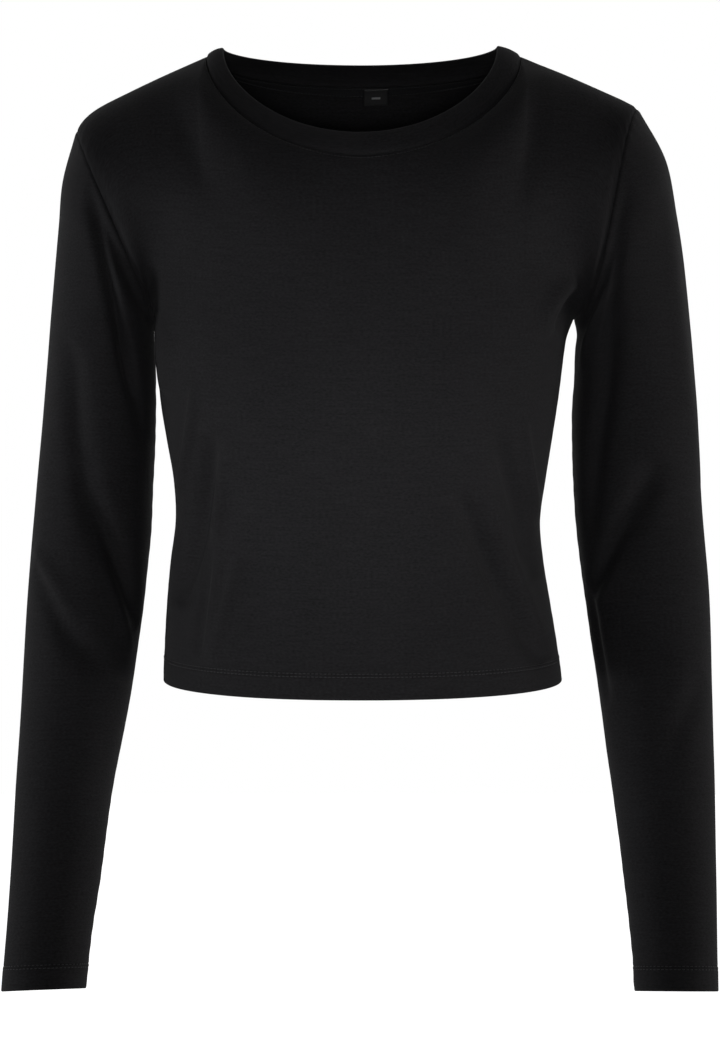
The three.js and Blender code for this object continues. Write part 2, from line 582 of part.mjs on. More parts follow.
const CROP_TOP = new THREE.Group();
CROP_TOP.add(
  piece('front_panel', panelGeometry(FACES.front), { name: 'front jersey', ...JERSEY }),
  piece('back_panel', panelGeometry(FACES.back), { name: 'back jersey', ...JERSEY }),
  piece('right_sleeve', sleeveGeometry(SIDES.right), { name: 'right sleeve jersey', ...JERSEY }),
  piece('left_sleeve', sleeveGeometry(SIDES.left), { name: 'left sleeve jersey', ...JERSEY }),
  piece('neckband', bandGeometry(), { name: 'neckband jersey', ...JERSEY }),
  piece('neck_tape', tapeGeometry(), { name: 'neck tape', ...TAPE }),
  piece('size_label', labelGeometry(), { name: 'woven label', ...WOVEN }),
);

export default CROP_TOP;
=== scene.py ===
"""A long-sleeved crop top in fine black jersey, filled out as if worn, with no wearer in it.

Every cloth piece is a thin double-sided sheet on the form of its solid, with the creases of soft jersey,
seams that sink a little, hems that are turned up, and sewn rows of thread.
Sizes are in millimetres until a mesh is made. The front faces -Y and the wearer's left is +X.
"""

import logging
import math
from dataclasses import dataclass, field
from enum import Enum
from typing import Callable, Sequence

import bmesh
import bpy
import numpy as np
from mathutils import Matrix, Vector


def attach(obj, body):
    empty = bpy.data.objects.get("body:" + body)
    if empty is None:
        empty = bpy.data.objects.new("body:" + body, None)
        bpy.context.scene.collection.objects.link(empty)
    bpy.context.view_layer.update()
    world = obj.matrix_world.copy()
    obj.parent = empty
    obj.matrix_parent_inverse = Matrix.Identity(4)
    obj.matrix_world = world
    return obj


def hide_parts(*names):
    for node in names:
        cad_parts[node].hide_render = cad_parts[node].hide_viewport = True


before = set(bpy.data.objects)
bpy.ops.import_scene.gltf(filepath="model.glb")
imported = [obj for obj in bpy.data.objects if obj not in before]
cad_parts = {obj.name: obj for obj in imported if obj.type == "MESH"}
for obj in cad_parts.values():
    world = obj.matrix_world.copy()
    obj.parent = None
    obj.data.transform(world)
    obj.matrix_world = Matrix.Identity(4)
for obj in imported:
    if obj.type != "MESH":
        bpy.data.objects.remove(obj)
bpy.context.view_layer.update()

LOG = logging.getLogger("crop_top")
MM = 0.001
HALF_TURN = math.pi
QUARTER_TURN = math.pi / 2
NEAR = 0.002

Array = np.ndarray


# Sizes of the cut

class Face(Enum):
    """Which side of the body a panel covers; the value is 1 at the front and -1 at the back."""

    FRONT = 1
    BACK = -1


def hermite(start: Array, start_slope: Array, end: Array, end_slope: Array, t: Array) -> Array:
    """Smooth curve between two values with given slopes.

    Args:
        start: value at t = 0.
        start_slope: slope there.
        end: value at t = 1.
        end_slope: slope there.
        t: place on the curve.

    Returns:
        The value at t.
    """
    u = 1 - t
    first = (1 + 2 * t) * u * u * start + t * u * u * start_slope
    return first + t * t * (3 - 2 * t) * end - t * t * u * end_slope


def squared(value: Array, roundness: float) -> Array:
    """A circle's cosine or sine, squared off a little as on cloth that is held out."""
    return np.sign(value) * np.abs(value) ** (2 / roundness)


def smooth(value: Array, low: float, high: float) -> Array:
    """Smooth step from 0 at low to 1 at high."""
    t = np.clip((value - low) / (high - low), 0, 1)
    return t * t * (3 - 2 * t)


def point(x: Array, y: Array, z: Array) -> Array:
    """Points from three grids of coordinates."""
    return np.stack(np.broadcast_arrays(x, y, z), axis=-1).astype(float)


def unit(vectors: Array) -> Array:
    """Vectors at length one."""
    return vectors / np.maximum(np.linalg.norm(vectors, axis=-1, keepdims=True), 1e-9)


@dataclass(frozen=True)
class Sections:
    """Sizes at several places along a tube, joined by smooth curves."""

    names: tuple[str, ...]
    rows: tuple[tuple[float, ...], ...]

    def value(self, name: str, place: Array) -> Array:
        """One size at a place.

        Args:
            name: the size's column.
            place: place in the first column's units.

        Returns:
            The size there.
        """
        table = np.array(self.rows)
        x, y = table[:, 0], table[:, self.names.index(name)]
        before = np.maximum(np.arange(len(x)) - 1, 0)
        after = np.minimum(np.arange(len(x)) + 1, len(x) - 1)
        slope = (y[after] - y[before]) / (x[after] - x[before])
        i = np.searchsorted(x[1:-1], place)
        span = x[i + 1] - x[i]
        return hermite(y[i], slope[i] * span, y[i + 1], slope[i + 1] * span, (place - x[i]) / span)


@dataclass(frozen=True)
class Fold:
    """A soft trough or ridge along a curve through three places."""

    a: tuple[float, float, float]
    b: tuple[float, float, float]
    wide: float
    high: float
    taper: float = 0.7

    def height(self, a: Array, b: Array) -> Array:
        """Height of the fold at each place.

        Args:
            a: first coordinate of the places.
            b: second coordinate of the places.

        Returns:
            Height outwards in millimetres, below nought in a trough.
        """
        pieces = 18
        t = np.linspace(0, 1, pieces + 1)
        curve = []
        for first, middle, last in (self.a, self.b):
            control = 2 * middle - (first + last) / 2
            curve.append((1 - t) ** 2 * first + 2 * t * (1 - t) * control + t * t * last)
        nearest = np.full(np.shape(a), np.inf)
        share = np.zeros(np.shape(a))
        for k in range(pieces):
            low_a, low_b = curve[0][k], curve[1][k]
            step_a, step_b = curve[0][k + 1] - low_a, curve[1][k + 1] - low_b
            length = max(step_a ** 2 + step_b ** 2, 1e-9)
            s = np.clip(((a - low_a) * step_a + (b - low_b) * step_b) / length, 0, 1)
            gap = np.hypot(a - low_a - s * step_a, b - low_b - s * step_b)
            closer = gap < nearest
            nearest = np.where(closer, gap, nearest)
            share = np.where(closer, (k + s) / pieces, share)
        ends = np.clip(4 * share * (1 - share), 0, 1) ** self.taper
        return self.high * ends * np.exp(-((nearest / self.wide) ** 2))


@dataclass(frozen=True)
class NeckLoop:
    """A loop round the neck: reach and level at the front, the back and the two sides."""

    front: float
    front_z: float
    back: float
    back_z: float
    right: float
    left: float
    right_z: float
    left_z: float
    rise: float = 1.15
    spread: float = 0.8

    def place(self, sign: int, turn: Array) -> Array:
        """Point of the loop.

        Args:
            sign: -1 on the wearer's right and 1 on the left.
            turn: 0 at the front middle, a quarter turn at the side.

        Returns:
            The points.
        """
        forward = np.cos(turn)
        ahead = forward > 0
        side_z = self.right_z if sign < 0 else self.left_z
        width = self.right if sign < 0 else self.left
        fall = np.abs(forward) ** self.rise
        z = side_z + (np.where(ahead, self.front_z, self.back_z) - side_z) * fall
        y = -np.where(ahead, self.front, self.back) * np.sign(forward) * np.abs(forward) ** self.spread
        return point(sign * width * np.sin(turn), y, z)


@dataclass(frozen=True)
class SideCut:
    """What differs between the wearer's right and left."""

    sign: int
    body_column: str
    shoulder_slope: float
    pit_flare: float
    scoop: float
    swing: float
    pull: tuple[float, float]
    sleeve: Sections
    folds: tuple[Fold, ...]


SLEEVE_COLUMNS = ("at", "out_x", "out_z", "in_x", "in_z", "y", "front", "back", "tilt")
SLEEVE_GIRTH = 45.0
SLEEVE_RUN = 606.0


FoldRow = tuple[Sequence[float], Sequence[float], float, float]


def sleeve_folds(*rows: FoldRow) -> tuple[Fold, ...]:
    """Folds of a sleeve.

    Args:
        rows: for each fold, three places in degrees round the sleeve, 0 at its outer line and 90 at the
            front, the same places as shares of its length, its half-width and its height.

    Returns:
        The folds in millimetres.
    """
    round_mm = math.radians(1) * SLEEVE_GIRTH
    return tuple(Fold(tuple(v * round_mm for v in turn), tuple(v * SLEEVE_RUN for v in at), wide, high)
                 for turn, at, wide, high in rows)


def body_folds(*rows: FoldRow) -> tuple[Fold, ...]:
    """Folds of a panel, each with three places across and up, its half-width and its height."""
    return tuple(Fold(*row) for row in rows)


RIGHT = SideCut(
    sign=-1, body_column="right", shoulder_slope=0.465, pit_flare=1.2, scoop=2.0, swing=0.0, pull=(5.0, 2.6),
    sleeve=Sections(SLEEVE_COLUMNS, (
        (0, 199.0, -54.9, 144.8, -187, 3, 53, 55, 0),
        (0.059, 209.1, -89.1, 146.2, -198, 6, 52, 54, 0),
        (0.111, 212.4, -120.6, 145.8, -210, 9, 51, 53, 0),
        (0.175, 216.6, -159.2, 145.2, -225, 12, 50, 52, 0),
        (0.315, 224.5, -244.1, 145.4, -262, 15, 47, 48, 0),
        (0.433, 231.6, -315.3, 148.2, -319, 16, 43, 44, 4),
        (0.552, 237.8, -386.9, 153.7, -384, 12, 41, 41, 8),
        (0.669, 241.6, -457.8, 163.2, -451, 2, 38, 38, 11),
        (0.783, 245.4, -527.2, 175.6, -519, -12, 34, 34, 13),
        (0.897, 248.8, -596.1, 185.6, -590, -28, 30, 30, 13.6),
        (1, 252.8, -658.3, 193.9, -656, -44, 27, 27, 13.6),
    )),
    folds=sleeve_folds(
        ((64, 99.7, 130), (0.03, 0.094, 0.275), 8, -5.4),
        ((107, 125, 144), (0.125, 0.209, 0.345), 7, -4.2),
        ((63, 72, 88), (0.225, 0.328, 0.41), 10, -5.6),
        ((78, 112, 163), (0.385, 0.49, 0.592), 10, -8.6),
        ((30, 60.3, 90), (0.515, 0.556, 0.622), 8, -2.6),
        ((26, 56, 86), (0.49, 0.528, 0.59), 7, 2.2),
        ((55, 98, 132), (0.563, 0.619, 0.675), 10, -2.4),
        ((90, 120, 158), (0.44, 0.535, 0.63), 6, 2.4),
        ((58, 108, 168), (0.022, 0.026, 0.036), 12, -4.0),
        ((305, 272, 236), (0.2, 0.33, 0.44), 11, -3.6),
        ((338, 290, 232), (0.5, 0.545, 0.6), 9, -4.1),
        ((322, 284, 240), (0.47, 0.51, 0.56), 7, 2.0),
        ((250, 225, 200), (0.05, 0.14, 0.25), 10, -3.0),
        ((292, 250, 205), (0.025, 0.032, 0.045), 10, -2.4),
        ),
)
LEFT = SideCut(
    sign=1, body_column="left", shoulder_slope=0.425, pit_flare=5.6, scoop=0.0, swing=4.5, pull=(2.6, 2.4),
    sleeve=Sections(SLEEVE_COLUMNS, (
        (0, 195.3, -39.6, 151.4, -187, 3, 53, 55, 0),
        (0.059, 215.3, -75.1, 153.6, -198, 6, 52, 54, 0),
        (0.111, 223.6, -113.6, 152.8, -210, 9, 51, 53, 0),
        (0.175, 229.8, -152.2, 152.4, -225, 12, 50, 52, 0),
        (0.315, 239.4, -244.1, 151.4, -262, 15, 47, 48, 0),
        (0.433, 243.8, -315.3, 153.2, -319, 16, 43, 44, 4),
        (0.552, 249.8, -386.9, 160.9, -385, 12, 41, 41, 8),
        (0.669, 251.5, -457.8, 171.3, -457, 2, 38, 38, 11),
        (0.783, 252.6, -527.2, 180.4, -526, -12, 34, 34, 13),
        (0.897, 252.7, -596.1, 189.0, -595, -28, 30, 30, 13.6),
        (1, 252.6, -658.3, 194.2, -658, -44, 27, 27, 13.6),
    )),
    folds=sleeve_folds(
        ((108, 122, 148.6), (0.07, 0.273, 0.51), 9, -4.8),
        ((76, 111.8, 156), (0.376, 0.477, 0.548), 9, -7.2),
        ((119.1, 145.6, 154.6), (0.034, 0.079, 0.182), 7, 2.8),
        ((154.5, 162.2, 150.9), (0.54, 0.604, 0.678), 8, -4.2),
        ((88, 118.5, 153), (0.43, 0.505, 0.575), 6, 2.4),
        ((88, 116, 129), (0.035, 0.1, 0.26), 8, -3.2),
        ((30, 42, 20), (0.08, 0.224, 0.42), 12, 2.4),
        ((40, 66, 96), (0.64, 0.69, 0.76), 10, -1.6),
        ((66, 112, 164), (0.022, 0.026, 0.036), 11, -2.4),
        ((290, 258, 232), (0.24, 0.36, 0.47), 11, -3.6),
        ((335, 285, 228), (0.46, 0.53, 0.57), 9, -4.1),
        ((318, 276, 236), (0.43, 0.49, 0.53), 7, 2.0),
        ((252, 228, 204), (0.04, 0.13, 0.24), 10, -3.0),
        ((296, 252, 206), (0.025, 0.032, 0.045), 10, -2.4),
        ),
)

FRONT_FOLDS = body_folds(
    ((-113.7, -117.9, -127.9), (-228, -267.9, -309), 3.0, 4.2),
    ((-100.8, -112.2, -126.3), (-262, -324.6, -386), 6.5, -10.5),
    ((-93.9, -100.8, -107.4), (-276, -350.2, -418), 4.5, 4.4),
    ((-98.7, -105.6, -112.5), (-327, -370.8, -418), 4.5, -5.5),
    ((-80.4, -91.6, -103.2), (-344, -380.2, -418), 4.5, 3.2),
    ((-143.7, -136.6, -139.7), (-180, -206.7, -236), 8, 3.0),
    ((92.2, 111, 124), (-260, -317.9, -366), 6.5, -7.6),
    ((65.7, 95, 127), (-300, -365.9, -426), 6.5, -7.6),
    ((112.6, 117.8, 125.3), (-252, -289.2, -328), 3.0, 3.2),
    ((86, 105, 128), (-305, -352, -408), 5.5, 3.2),
    ((150, 134.4, 126.4), (-158, -173.4, -198), 6.5, 5.6),
    ((152.5, 142.9, 134.8), (-168, -178.5, -192), 5, -4.8),
    ((-58, -70, -84), (-352, -388, -420), 10, -1.4),
    ((28, 46, 72), (-330, -366, -412), 13, -1.3),
    ((-60, -4, 56), (-196, -214, -204), 26, -1.2),
    ((-150, -128, -104), (-104, -140, -168), 15, -1.2),
    ((148, 130, 106), (-100, -138, -170), 15, -1.2),
)
BACK_FOLDS = body_folds(
    ((-58, -78, -102), (-284, -335, -396), 8, -4.4),
    ((-86, -100, -119), (-244, -300, -356), 5.5, 2.6),
    ((-72, -88, -110), (-320, -366, -414), 5, 1.8),
    ((50, 74, 106), (-296, -345, -404), 8, -4.0),
    ((93, 104, 121), (-256, -310, -366), 5.5, 2.8),
    ((88, 108, 130), (-316, -362, -410), 5, -2.6),
    ((-150, -120, -94), (-118, -166, -222), 13, -3.0),
    ((151, 124, 90), (-116, -172, -232), 13, -3.0),
    ((-46, 4, 52), (-322, -332, -318), 12, -2.3),
    ((-34, 10, 44), (-350, -358, -346), 9, 1.4),
    ((-70, -20, 30), (-60, -70, -64), 14, -1.0),
)


@dataclass(frozen=True)
class Cut:
    """The garment's form: its body, neck, armholes and shoulders."""

    hem_z: float = -442.0
    underarm_z: float = -188.0
    seam: float = 0.3
    body_roundness: float = 2.2
    sleeve_roundness: float = 2.1
    body: Sections = Sections(("z", "right", "left", "front", "back"), (
        (-442, 139.6, 143.4, 103, 100),
        (-415, 138.8, 139.8, 101, 97),
        (-386, 137.0, 134.9, 98.5, 91),
        (-358, 134.4, 130.2, 97, 86),
        (-328, 130.6, 127.6, 99, 83.5),
        (-300, 131.8, 131.2, 104, 85),
        (-272, 136.4, 135.6, 110.5, 89),
        (-244, 140.8, 139.7, 114.5, 93),
        (-215, 142.8, 143.1, 113.5, 95),
        (-188, 143.4, 145.6, 109, 95.5),
    ))
    neck_seam: NeckLoop = NeckLoop(80, -72.8, 56, -20.5, 107.5, 112.4, -2.6, -2.6)
    neck_edge: NeckLoop = NeckLoop(70, -57.3, 45.5, -6.5, 96, 96, 3, 4.4)
    shoulder_rounding: float = 14
    armhole_ease: float = 0.1
    neck_share: float = 0.5
    body_share: float = 0.56
    corner_ease: float = 0.2
    corner_hold: float = 14
    ease_taps: int = 24
    flare_share: float = 8
    flare_rise: float = 8
    edge_hold_top: float = 4
    edge_hold_low: float = 14
    neck_pull: tuple[float, float] = (110, 150)
    shoulder_pull: float = 150
    pull_wide: float = 10

    def sleeve(self, side: SideCut, at: Array, turn: Array) -> Array:
        """Points of a sleeve.

        Args:
            side: the sleeve's side.
            at: share of its length.
            turn: 0 at its outer line, a quarter turn at its front and a half turn at its inner line.

        Returns:
            The points.
        """
        rows = side.sleeve
        out_x, out_z, in_x, in_z = (rows.value(name, at) for name in ("out_x", "out_z", "in_x", "in_z"))
        across = squared(np.cos(turn), self.sleeve_roundness) / 2
        forward = squared(np.sin(turn), self.sleeve_roundness)
        reach = forward * np.where(forward > 0, rows.value("front", at), rows.value("back", at))
        tilt = np.radians(rows.value("tilt", at))
        bow = np.where(forward > 0, side.scoop * forward ** 2 + side.swing * np.sin(2 * turn), 0)
        inwards = bow * np.exp(-at / self.armhole_ease)
        length = np.hypot(out_x - in_x, out_z - in_z)
        x = (out_x + in_x) / 2 + across * (out_x - in_x) - inwards * (out_z - in_z) / length
        z = (out_z + in_z) / 2 + across * (out_z - in_z) + inwards * (out_x - in_x) / length
        return point(side.sign * x, rows.value("y", at) - reach * np.cos(tilt), z + reach * np.sin(tilt))

    def armhole_axis(self, side: SideCut) -> Array:
        """Direction along the upper arm at the armhole, square to the armhole's plane."""
        _, out_x, out_z, in_x, in_z = side.sleeve.rows[0][:5]
        return unit(np.array([side.sign * (out_z - in_z), 0, in_x - out_x]))

    def armhole_normal(self, side: SideCut, turn: Array) -> Array:
        """Outward direction at the armhole seam, upright at the underarm."""
        none = np.zeros_like(turn)
        ahead = self.sleeve(side, none, turn + NEAR) - self.sleeve(side, none, turn - NEAR)
        axis = self.armhole_axis(side)
        outward = unit(np.cross(ahead, axis))
        ends = self.sleeve(side, np.zeros(2), np.array([0, HALF_TURN]))
        spoke = self.sleeve(side, none, turn) - ends.mean(0)
        outward = outward * np.where(np.sum(outward * spoke, -1, keepdims=True) < 0, -1, 1)
        first = side.sleeve.rows[0]
        lean = (first[1] - first[3]) / (first[2] - first[4])
        low = ((1 - np.cos(turn)) / 2) ** 2
        return unit(outward + axis * (lean * low)[..., None])

    def armhole_pull(self, side: SideCut, turn: Array, gap: Array) -> Array:
        """Depth of the groove that the armhole seam draws in the cloth on both sides of it.

        Args:
            side: right or left.
            turn: place round the armhole, a quarter turn at its front.
            gap: distance from the seam in millimetres.

        Returns:
            Heights in millimetres, below nought in the groove.
        """
        deep = np.where(np.sin(turn) > 0, *side.pull)
        low = (1 - np.cos(turn)) / 2
        along = smooth(low, 0.12, 0.55) * (1 - smooth(low, 0.93, 1))
        return -deep * along * np.exp(-((gap / self.pull_wide) ** 2))

    def band_direction(self, side: SideCut, turn: Array) -> Array:
        """Direction from the neck seam up the band."""
        return unit(self.neck_edge.place(side.sign, turn) - self.neck_seam.place(side.sign, turn))

    def neck_normal(self, side: SideCut, turn: Array) -> Array:
        """Outward direction of the neckband and of the panels where they meet it."""
        ahead = self.neck_seam.place(side.sign, turn + NEAR) - self.neck_seam.place(side.sign, turn - NEAR)
        return unit(np.cross(self.band_direction(side, turn), unit(ahead)) * -side.sign)

    def shoulder(self, side: SideCut, share: Array) -> Array:
        """Points of the shoulder seam, from the neck to the sleeve head."""
        quarter = np.array(QUARTER_TURN)
        neck = self.neck_seam.place(side.sign, quarter) - self.seam * self.band_direction(side, quarter)
        out_x, out_z = side.sleeve.rows[0][1:3]
        reach = out_x - abs(neck[0])
        drop = neck[2] - side.shoulder_slope * reach - out_z
        z = neck[2] - side.shoulder_slope * reach * share - drop * share ** self.shoulder_rounding
        return point(neck[0] + side.sign * reach * share, np.zeros_like(share), z)

    def ring(self, face: Face, side: SideCut, share: Array, z: Array) -> Array:
        """Points of the body's tube: share 0 is the front or back middle and 1 the side seam."""
        turn = share * QUARTER_TURN
        flare = side.pit_flare * share ** self.flare_share * np.exp((z - self.underarm_z) / self.flare_rise)
        x = self.body.value(side.body_column, z) * squared(np.sin(turn), self.body_roundness) + flare
        depth = self.body.value(face.name.lower(), z)
        y = depth * squared(np.maximum(np.cos(turn), 0), self.body_roundness)
        return point(side.sign * x, -face.value * y, z)

    def neck_turn(self, face: Face, share: Array) -> Array:
        """Turn round the neck for a share of a panel's top edge."""
        turn = np.minimum(share / self.neck_share, 1) * QUARTER_TURN
        return turn if face is Face.FRONT else HALF_TURN - turn

    def top_edge(self, face: Face, side: SideCut, share: Array) -> Array:
        """Points of a panel's top edge: the neck seam up to the neck point, then the shoulder seam."""
        turn = self.neck_turn(face, np.abs(share))
        neck = self.neck_seam.place(side.sign, turn) - self.seam * self.band_direction(side, turn)
        neck[..., 0] *= np.where(share < 0, -1, 1)
        past = np.clip((share - self.neck_share) / (1 - self.neck_share), 0, 1)
        return np.where((share >= self.neck_share)[..., None], self.shoulder(side, past), neck)

    def eased_edge(self, face: Face, side: SideCut, share: Array) -> Array:
        """The top edge with its corner at the neck point eased, as the cloth lies lower down."""
        reach = np.minimum(self.corner_ease, 1 - share)
        shifts = np.linspace(-1, 1, self.ease_taps + 1)
        return sum(self.top_edge(face, side, share + k * reach) for k in shifts) / len(shifts)

    def yoke(self, face: Face, side: SideCut, share: Array, rise: Array) -> Array:
        """Points over the chest or the shoulder blades, between the tube and the top edge."""

        def column(s: Array) -> Array:
            level = np.full(np.shape(s), self.underarm_z)
            low = self.ring(face, side, s, level)
            slope = low - self.ring(face, side, s, level - 1)
            hold = (rise ** self.corner_hold)[..., None]
            high = self.eased_edge(face, side, s) * (1 - hold) + self.top_edge(face, side, s) * hold
            start = slope * (high[..., 2:] - low[..., 2:])
            turn = (np.minimum(s / self.neck_share, 1) * QUARTER_TURN)[..., None]
            end = self.band_direction(side, self.neck_turn(face, s)) * np.cos(turn)
            end = unit(end + np.array([0, face.value, 0]) * np.sin(turn))
            neck_pull = self.neck_pull[0 if face is Face.FRONT else 1]
            end = end * (neck_pull + (self.shoulder_pull - neck_pull) * np.sin(turn))
            return hermite(low, start, high, end, rise[..., None])

        turn = HALF_TURN * (1 - face.value * rise)
        edge = self.sleeve(side, np.zeros_like(turn), turn) - self.seam * self.armhole_axis(side)
        weight = share ** (self.edge_hold_top + self.edge_hold_low * (1 - rise) ** 3)
        return column(share) + (edge - column(np.ones_like(share))) * weight[..., None]

    def panel(self, face: Face, across: Array, up: Array) -> Array:
        """Points of a panel.

        Args:
            face: front or back.
            across: -1 at the right edge to 1 at the left edge.
            up: 0 at the hem to 1 at the top edge.

        Returns:
            The points.
        """
        share = np.abs(across)
        level = self.hem_z + (self.underarm_z - self.hem_z) * up / self.body_share
        rise = (up - self.body_share) / (1 - self.body_share)
        places = np.empty((*np.shape(share), 3))
        for side, half in ((RIGHT, across < 0), (LEFT, across >= 0)):
            low = half & (up < self.body_share)
            high = half & (up >= self.body_share)
            places[low] = self.ring(face, side, share[low], level[low])
            places[high] = self.yoke(face, side, share[high], rise[high])
        return places


CUT = Cut()


# Cloth sheets

def tangent_normals(place: Callable[[Array, Array], Array], a: Array, b: Array, limits: Array) -> Array:
    """Directions square to a surface.

    Args:
        place: points of the surface for two parameters.
        a: first parameter.
        b: second parameter.
        limits: lowest and highest of each parameter, as two rows.

    Returns:
        Unit directions, whose sign follows the parameters.
    """
    (low_a, high_a), (low_b, high_b) = limits
    along_a = place(np.minimum(a + NEAR, high_a), b) - place(np.maximum(a - NEAR, low_a), b)
    along_b = place(a, np.minimum(b + NEAR, high_b)) - place(a, np.maximum(b - NEAR, low_b))
    return unit(np.cross(along_a, along_b))


def arc(grid: Array, axis: int) -> Array:
    """Length run along one axis of a grid of points, from its first row or column."""
    steps = np.linalg.norm(np.diff(grid, axis=axis), axis=-1)
    start = np.zeros_like(np.take(steps, [0], axis=axis))
    return np.concatenate([start, np.cumsum(steps, axis=axis)], axis=axis)


def wobble(a: Array, b: Array, seed: int, size: float) -> Array:
    """Slight unevenness of cloth that hangs free, from a few long waves.

    Args:
        a: first coordinate in millimetres.
        b: second coordinate in millimetres.
        seed: chooses the waves.
        size: height of each wave.

    Returns:
        Heights in millimetres.
    """
    random = np.random.default_rng(seed)
    total = np.zeros(np.broadcast_shapes(np.shape(a), np.shape(b)))
    for _ in range(9):
        turn = random.uniform(0, math.pi)
        length = random.uniform(34, 110)
        phase = random.uniform(0, 2 * math.pi)
        way = a * math.cos(turn) + b * math.sin(turn)
        total += np.sin(way * 2 * math.pi / length + phase) * length / 90
    return total * size


def puckers(run: Array, gap: Array, pitch: float, reach: float, size: float, seed: int) -> Array:
    """Small uneven waves that a seam draws in the cloth beside it.

    Args:
        run: way along the seam in millimetres.
        gap: distance from the seam.
        pitch: usual length of a wave.
        reach: distance over which the waves die out.
        size: height of the waves.
        seed: chooses their unevenness.

    Returns:
        Heights in millimetres.
    """
    random = np.random.default_rng(seed)
    phase = random.uniform(0, 2 * math.pi, 3)
    bent = run + 2.6 * np.sin(run / (2.3 * pitch) + phase[0]) + 1.7 * np.sin(run / (0.83 * pitch) + phase[1])
    strength = 0.6 + 0.4 * np.sin(run / (3.7 * pitch) + phase[2])
    return size * strength * np.sin(bent * 2 * math.pi / pitch) * np.exp(-gap / reach)


def valley(gap: Array, deep: float, wide: float) -> Array:
    """Depth of a seam's soft valley at a distance from it."""
    return -deep * np.exp(-((gap / wide) ** 2))


@dataclass
class ClothGrid:
    """A grid of points on a cloth's outer face with outward directions and lengths of cloth."""

    points: Array
    normals: Array
    u: Array
    v: Array
    wrapped: bool = False

    def line(self, distance: float) -> tuple[Array, Array]:
        """A line on the cloth at an even distance from the grid's first row.

        Args:
            distance: way up the cloth in millimetres.

        Returns:
            The line's points and outward directions.
        """
        places, outwards = [], []
        run = arc(self.points, 0)
        for j in range(self.points.shape[1]):
            i = int(np.clip(np.searchsorted(run[:, j], distance), 1, len(run) - 1))
            t = (distance - run[i - 1, j]) / (run[i, j] - run[i - 1, j])
            places.append(self.points[i - 1, j] * (1 - t) + self.points[i, j] * t)
            outwards.append(self.normals[i - 1, j] * (1 - t) + self.normals[i, j] * t)
        if self.wrapped:
            places.append(places[0])
            outwards.append(outwards[0])
        return np.array(places), unit(np.array(outwards))


def new_mesh(name: str, points: Array, faces: list[tuple[int, ...]],
             uvs: Array | None = None) -> bpy.types.Object:
    """Smooth-shaded object with its faces outwards.

    Args:
        name: its name.
        points: its vertices in millimetres.
        faces: its faces.
        uvs: a place in metres on the cloth for each vertex.

    Returns:
        The object, linked to the scene.
    """
    mesh = bpy.data.meshes.new(name)
    mesh.from_pydata((np.asarray(points) * MM).tolist(), [], faces)
    if uvs is not None:
        layer = mesh.uv_layers.new(name="cloth")
        corner = np.zeros(len(mesh.loops), np.int32)
        mesh.loops.foreach_get("vertex_index", corner)
        layer.data.foreach_set("uv", np.asarray(uvs, np.float32)[corner].ravel())
    work = bmesh.new()
    work.from_mesh(mesh)
    bmesh.ops.recalc_face_normals(work, faces=work.faces)
    work.to_mesh(mesh)
    work.free()
    mesh.polygons.foreach_set("use_smooth", [True] * len(mesh.polygons))
    mesh.update()
    thing = bpy.data.objects.new(name, mesh)
    bpy.context.scene.collection.objects.link(thing)
    return thing


ROUND_STEPS = 4


def shell(name: str, grid: ClothGrid, thick: Array, round_first: bool = False) -> bpy.types.Object:
    """A closed sheet of cloth from its outer face.

    Args:
        name: the piece's name.
        grid: its outer face.
        thick: thickness of each row.
        round_first: rounds the first row's edge as a fold does.

    Returns:
        The piece.
    """
    outer = grid.points
    inner = outer - grid.normals * thick[:, None, None]
    count, wide = outer.shape[:2]
    loop = [*outer, *inner[::-1]]
    u_rows = [*grid.u, *grid.u[::-1]]
    v_rows = [*grid.v, *grid.v[::-1]]
    if round_first:
        middle = (outer[0] + inner[0]) / 2
        spoke = outer[0] - middle
        off = unit(outer[0] - outer[1]) * np.linalg.norm(spoke, axis=-1, keepdims=True)
        for angle in np.linspace(HALF_TURN, 0, ROUND_STEPS + 2)[1:-1]:
            loop.append(middle + spoke * math.cos(angle) + off * math.sin(angle))
            u_rows.append(grid.u[0])
            v_rows.append(grid.v[0] - thick[0] * math.sin(angle))
    total = len(loop)
    index = np.arange(total * wide).reshape(total, wide)
    columns = np.arange(wide if grid.wrapped else wide - 1)[None, :]
    rows = np.arange(total)[:, None]
    below, beside = (rows + 1) % total, (columns + 1) % wide
    corners = ((rows, columns), (rows, beside), (below, beside), (below, columns))
    quads = np.stack([index[corner] for corner in corners], -1)
    faces = [tuple(map(int, quad)) for quad in quads.reshape(-1, 4)]
    if not grid.wrapped:
        for side in (0, wide - 1):
            for i in range(count - 1):
                mate = 2 * count - 1 - i
                faces.append(tuple(int(index[k, side]) for k in (i, i + 1, mate - 1, mate)))
            if round_first:
                faces.append(tuple(int(index[k, side]) for k in (0, *range(2 * count - 1, total))))
    uvs = np.stack([np.array(u_rows), np.array(v_rows)], -1).reshape(-1, 2) * MM
    return new_mesh(name, np.array(loop).reshape(-1, 3), faces, uvs)


# Sewing

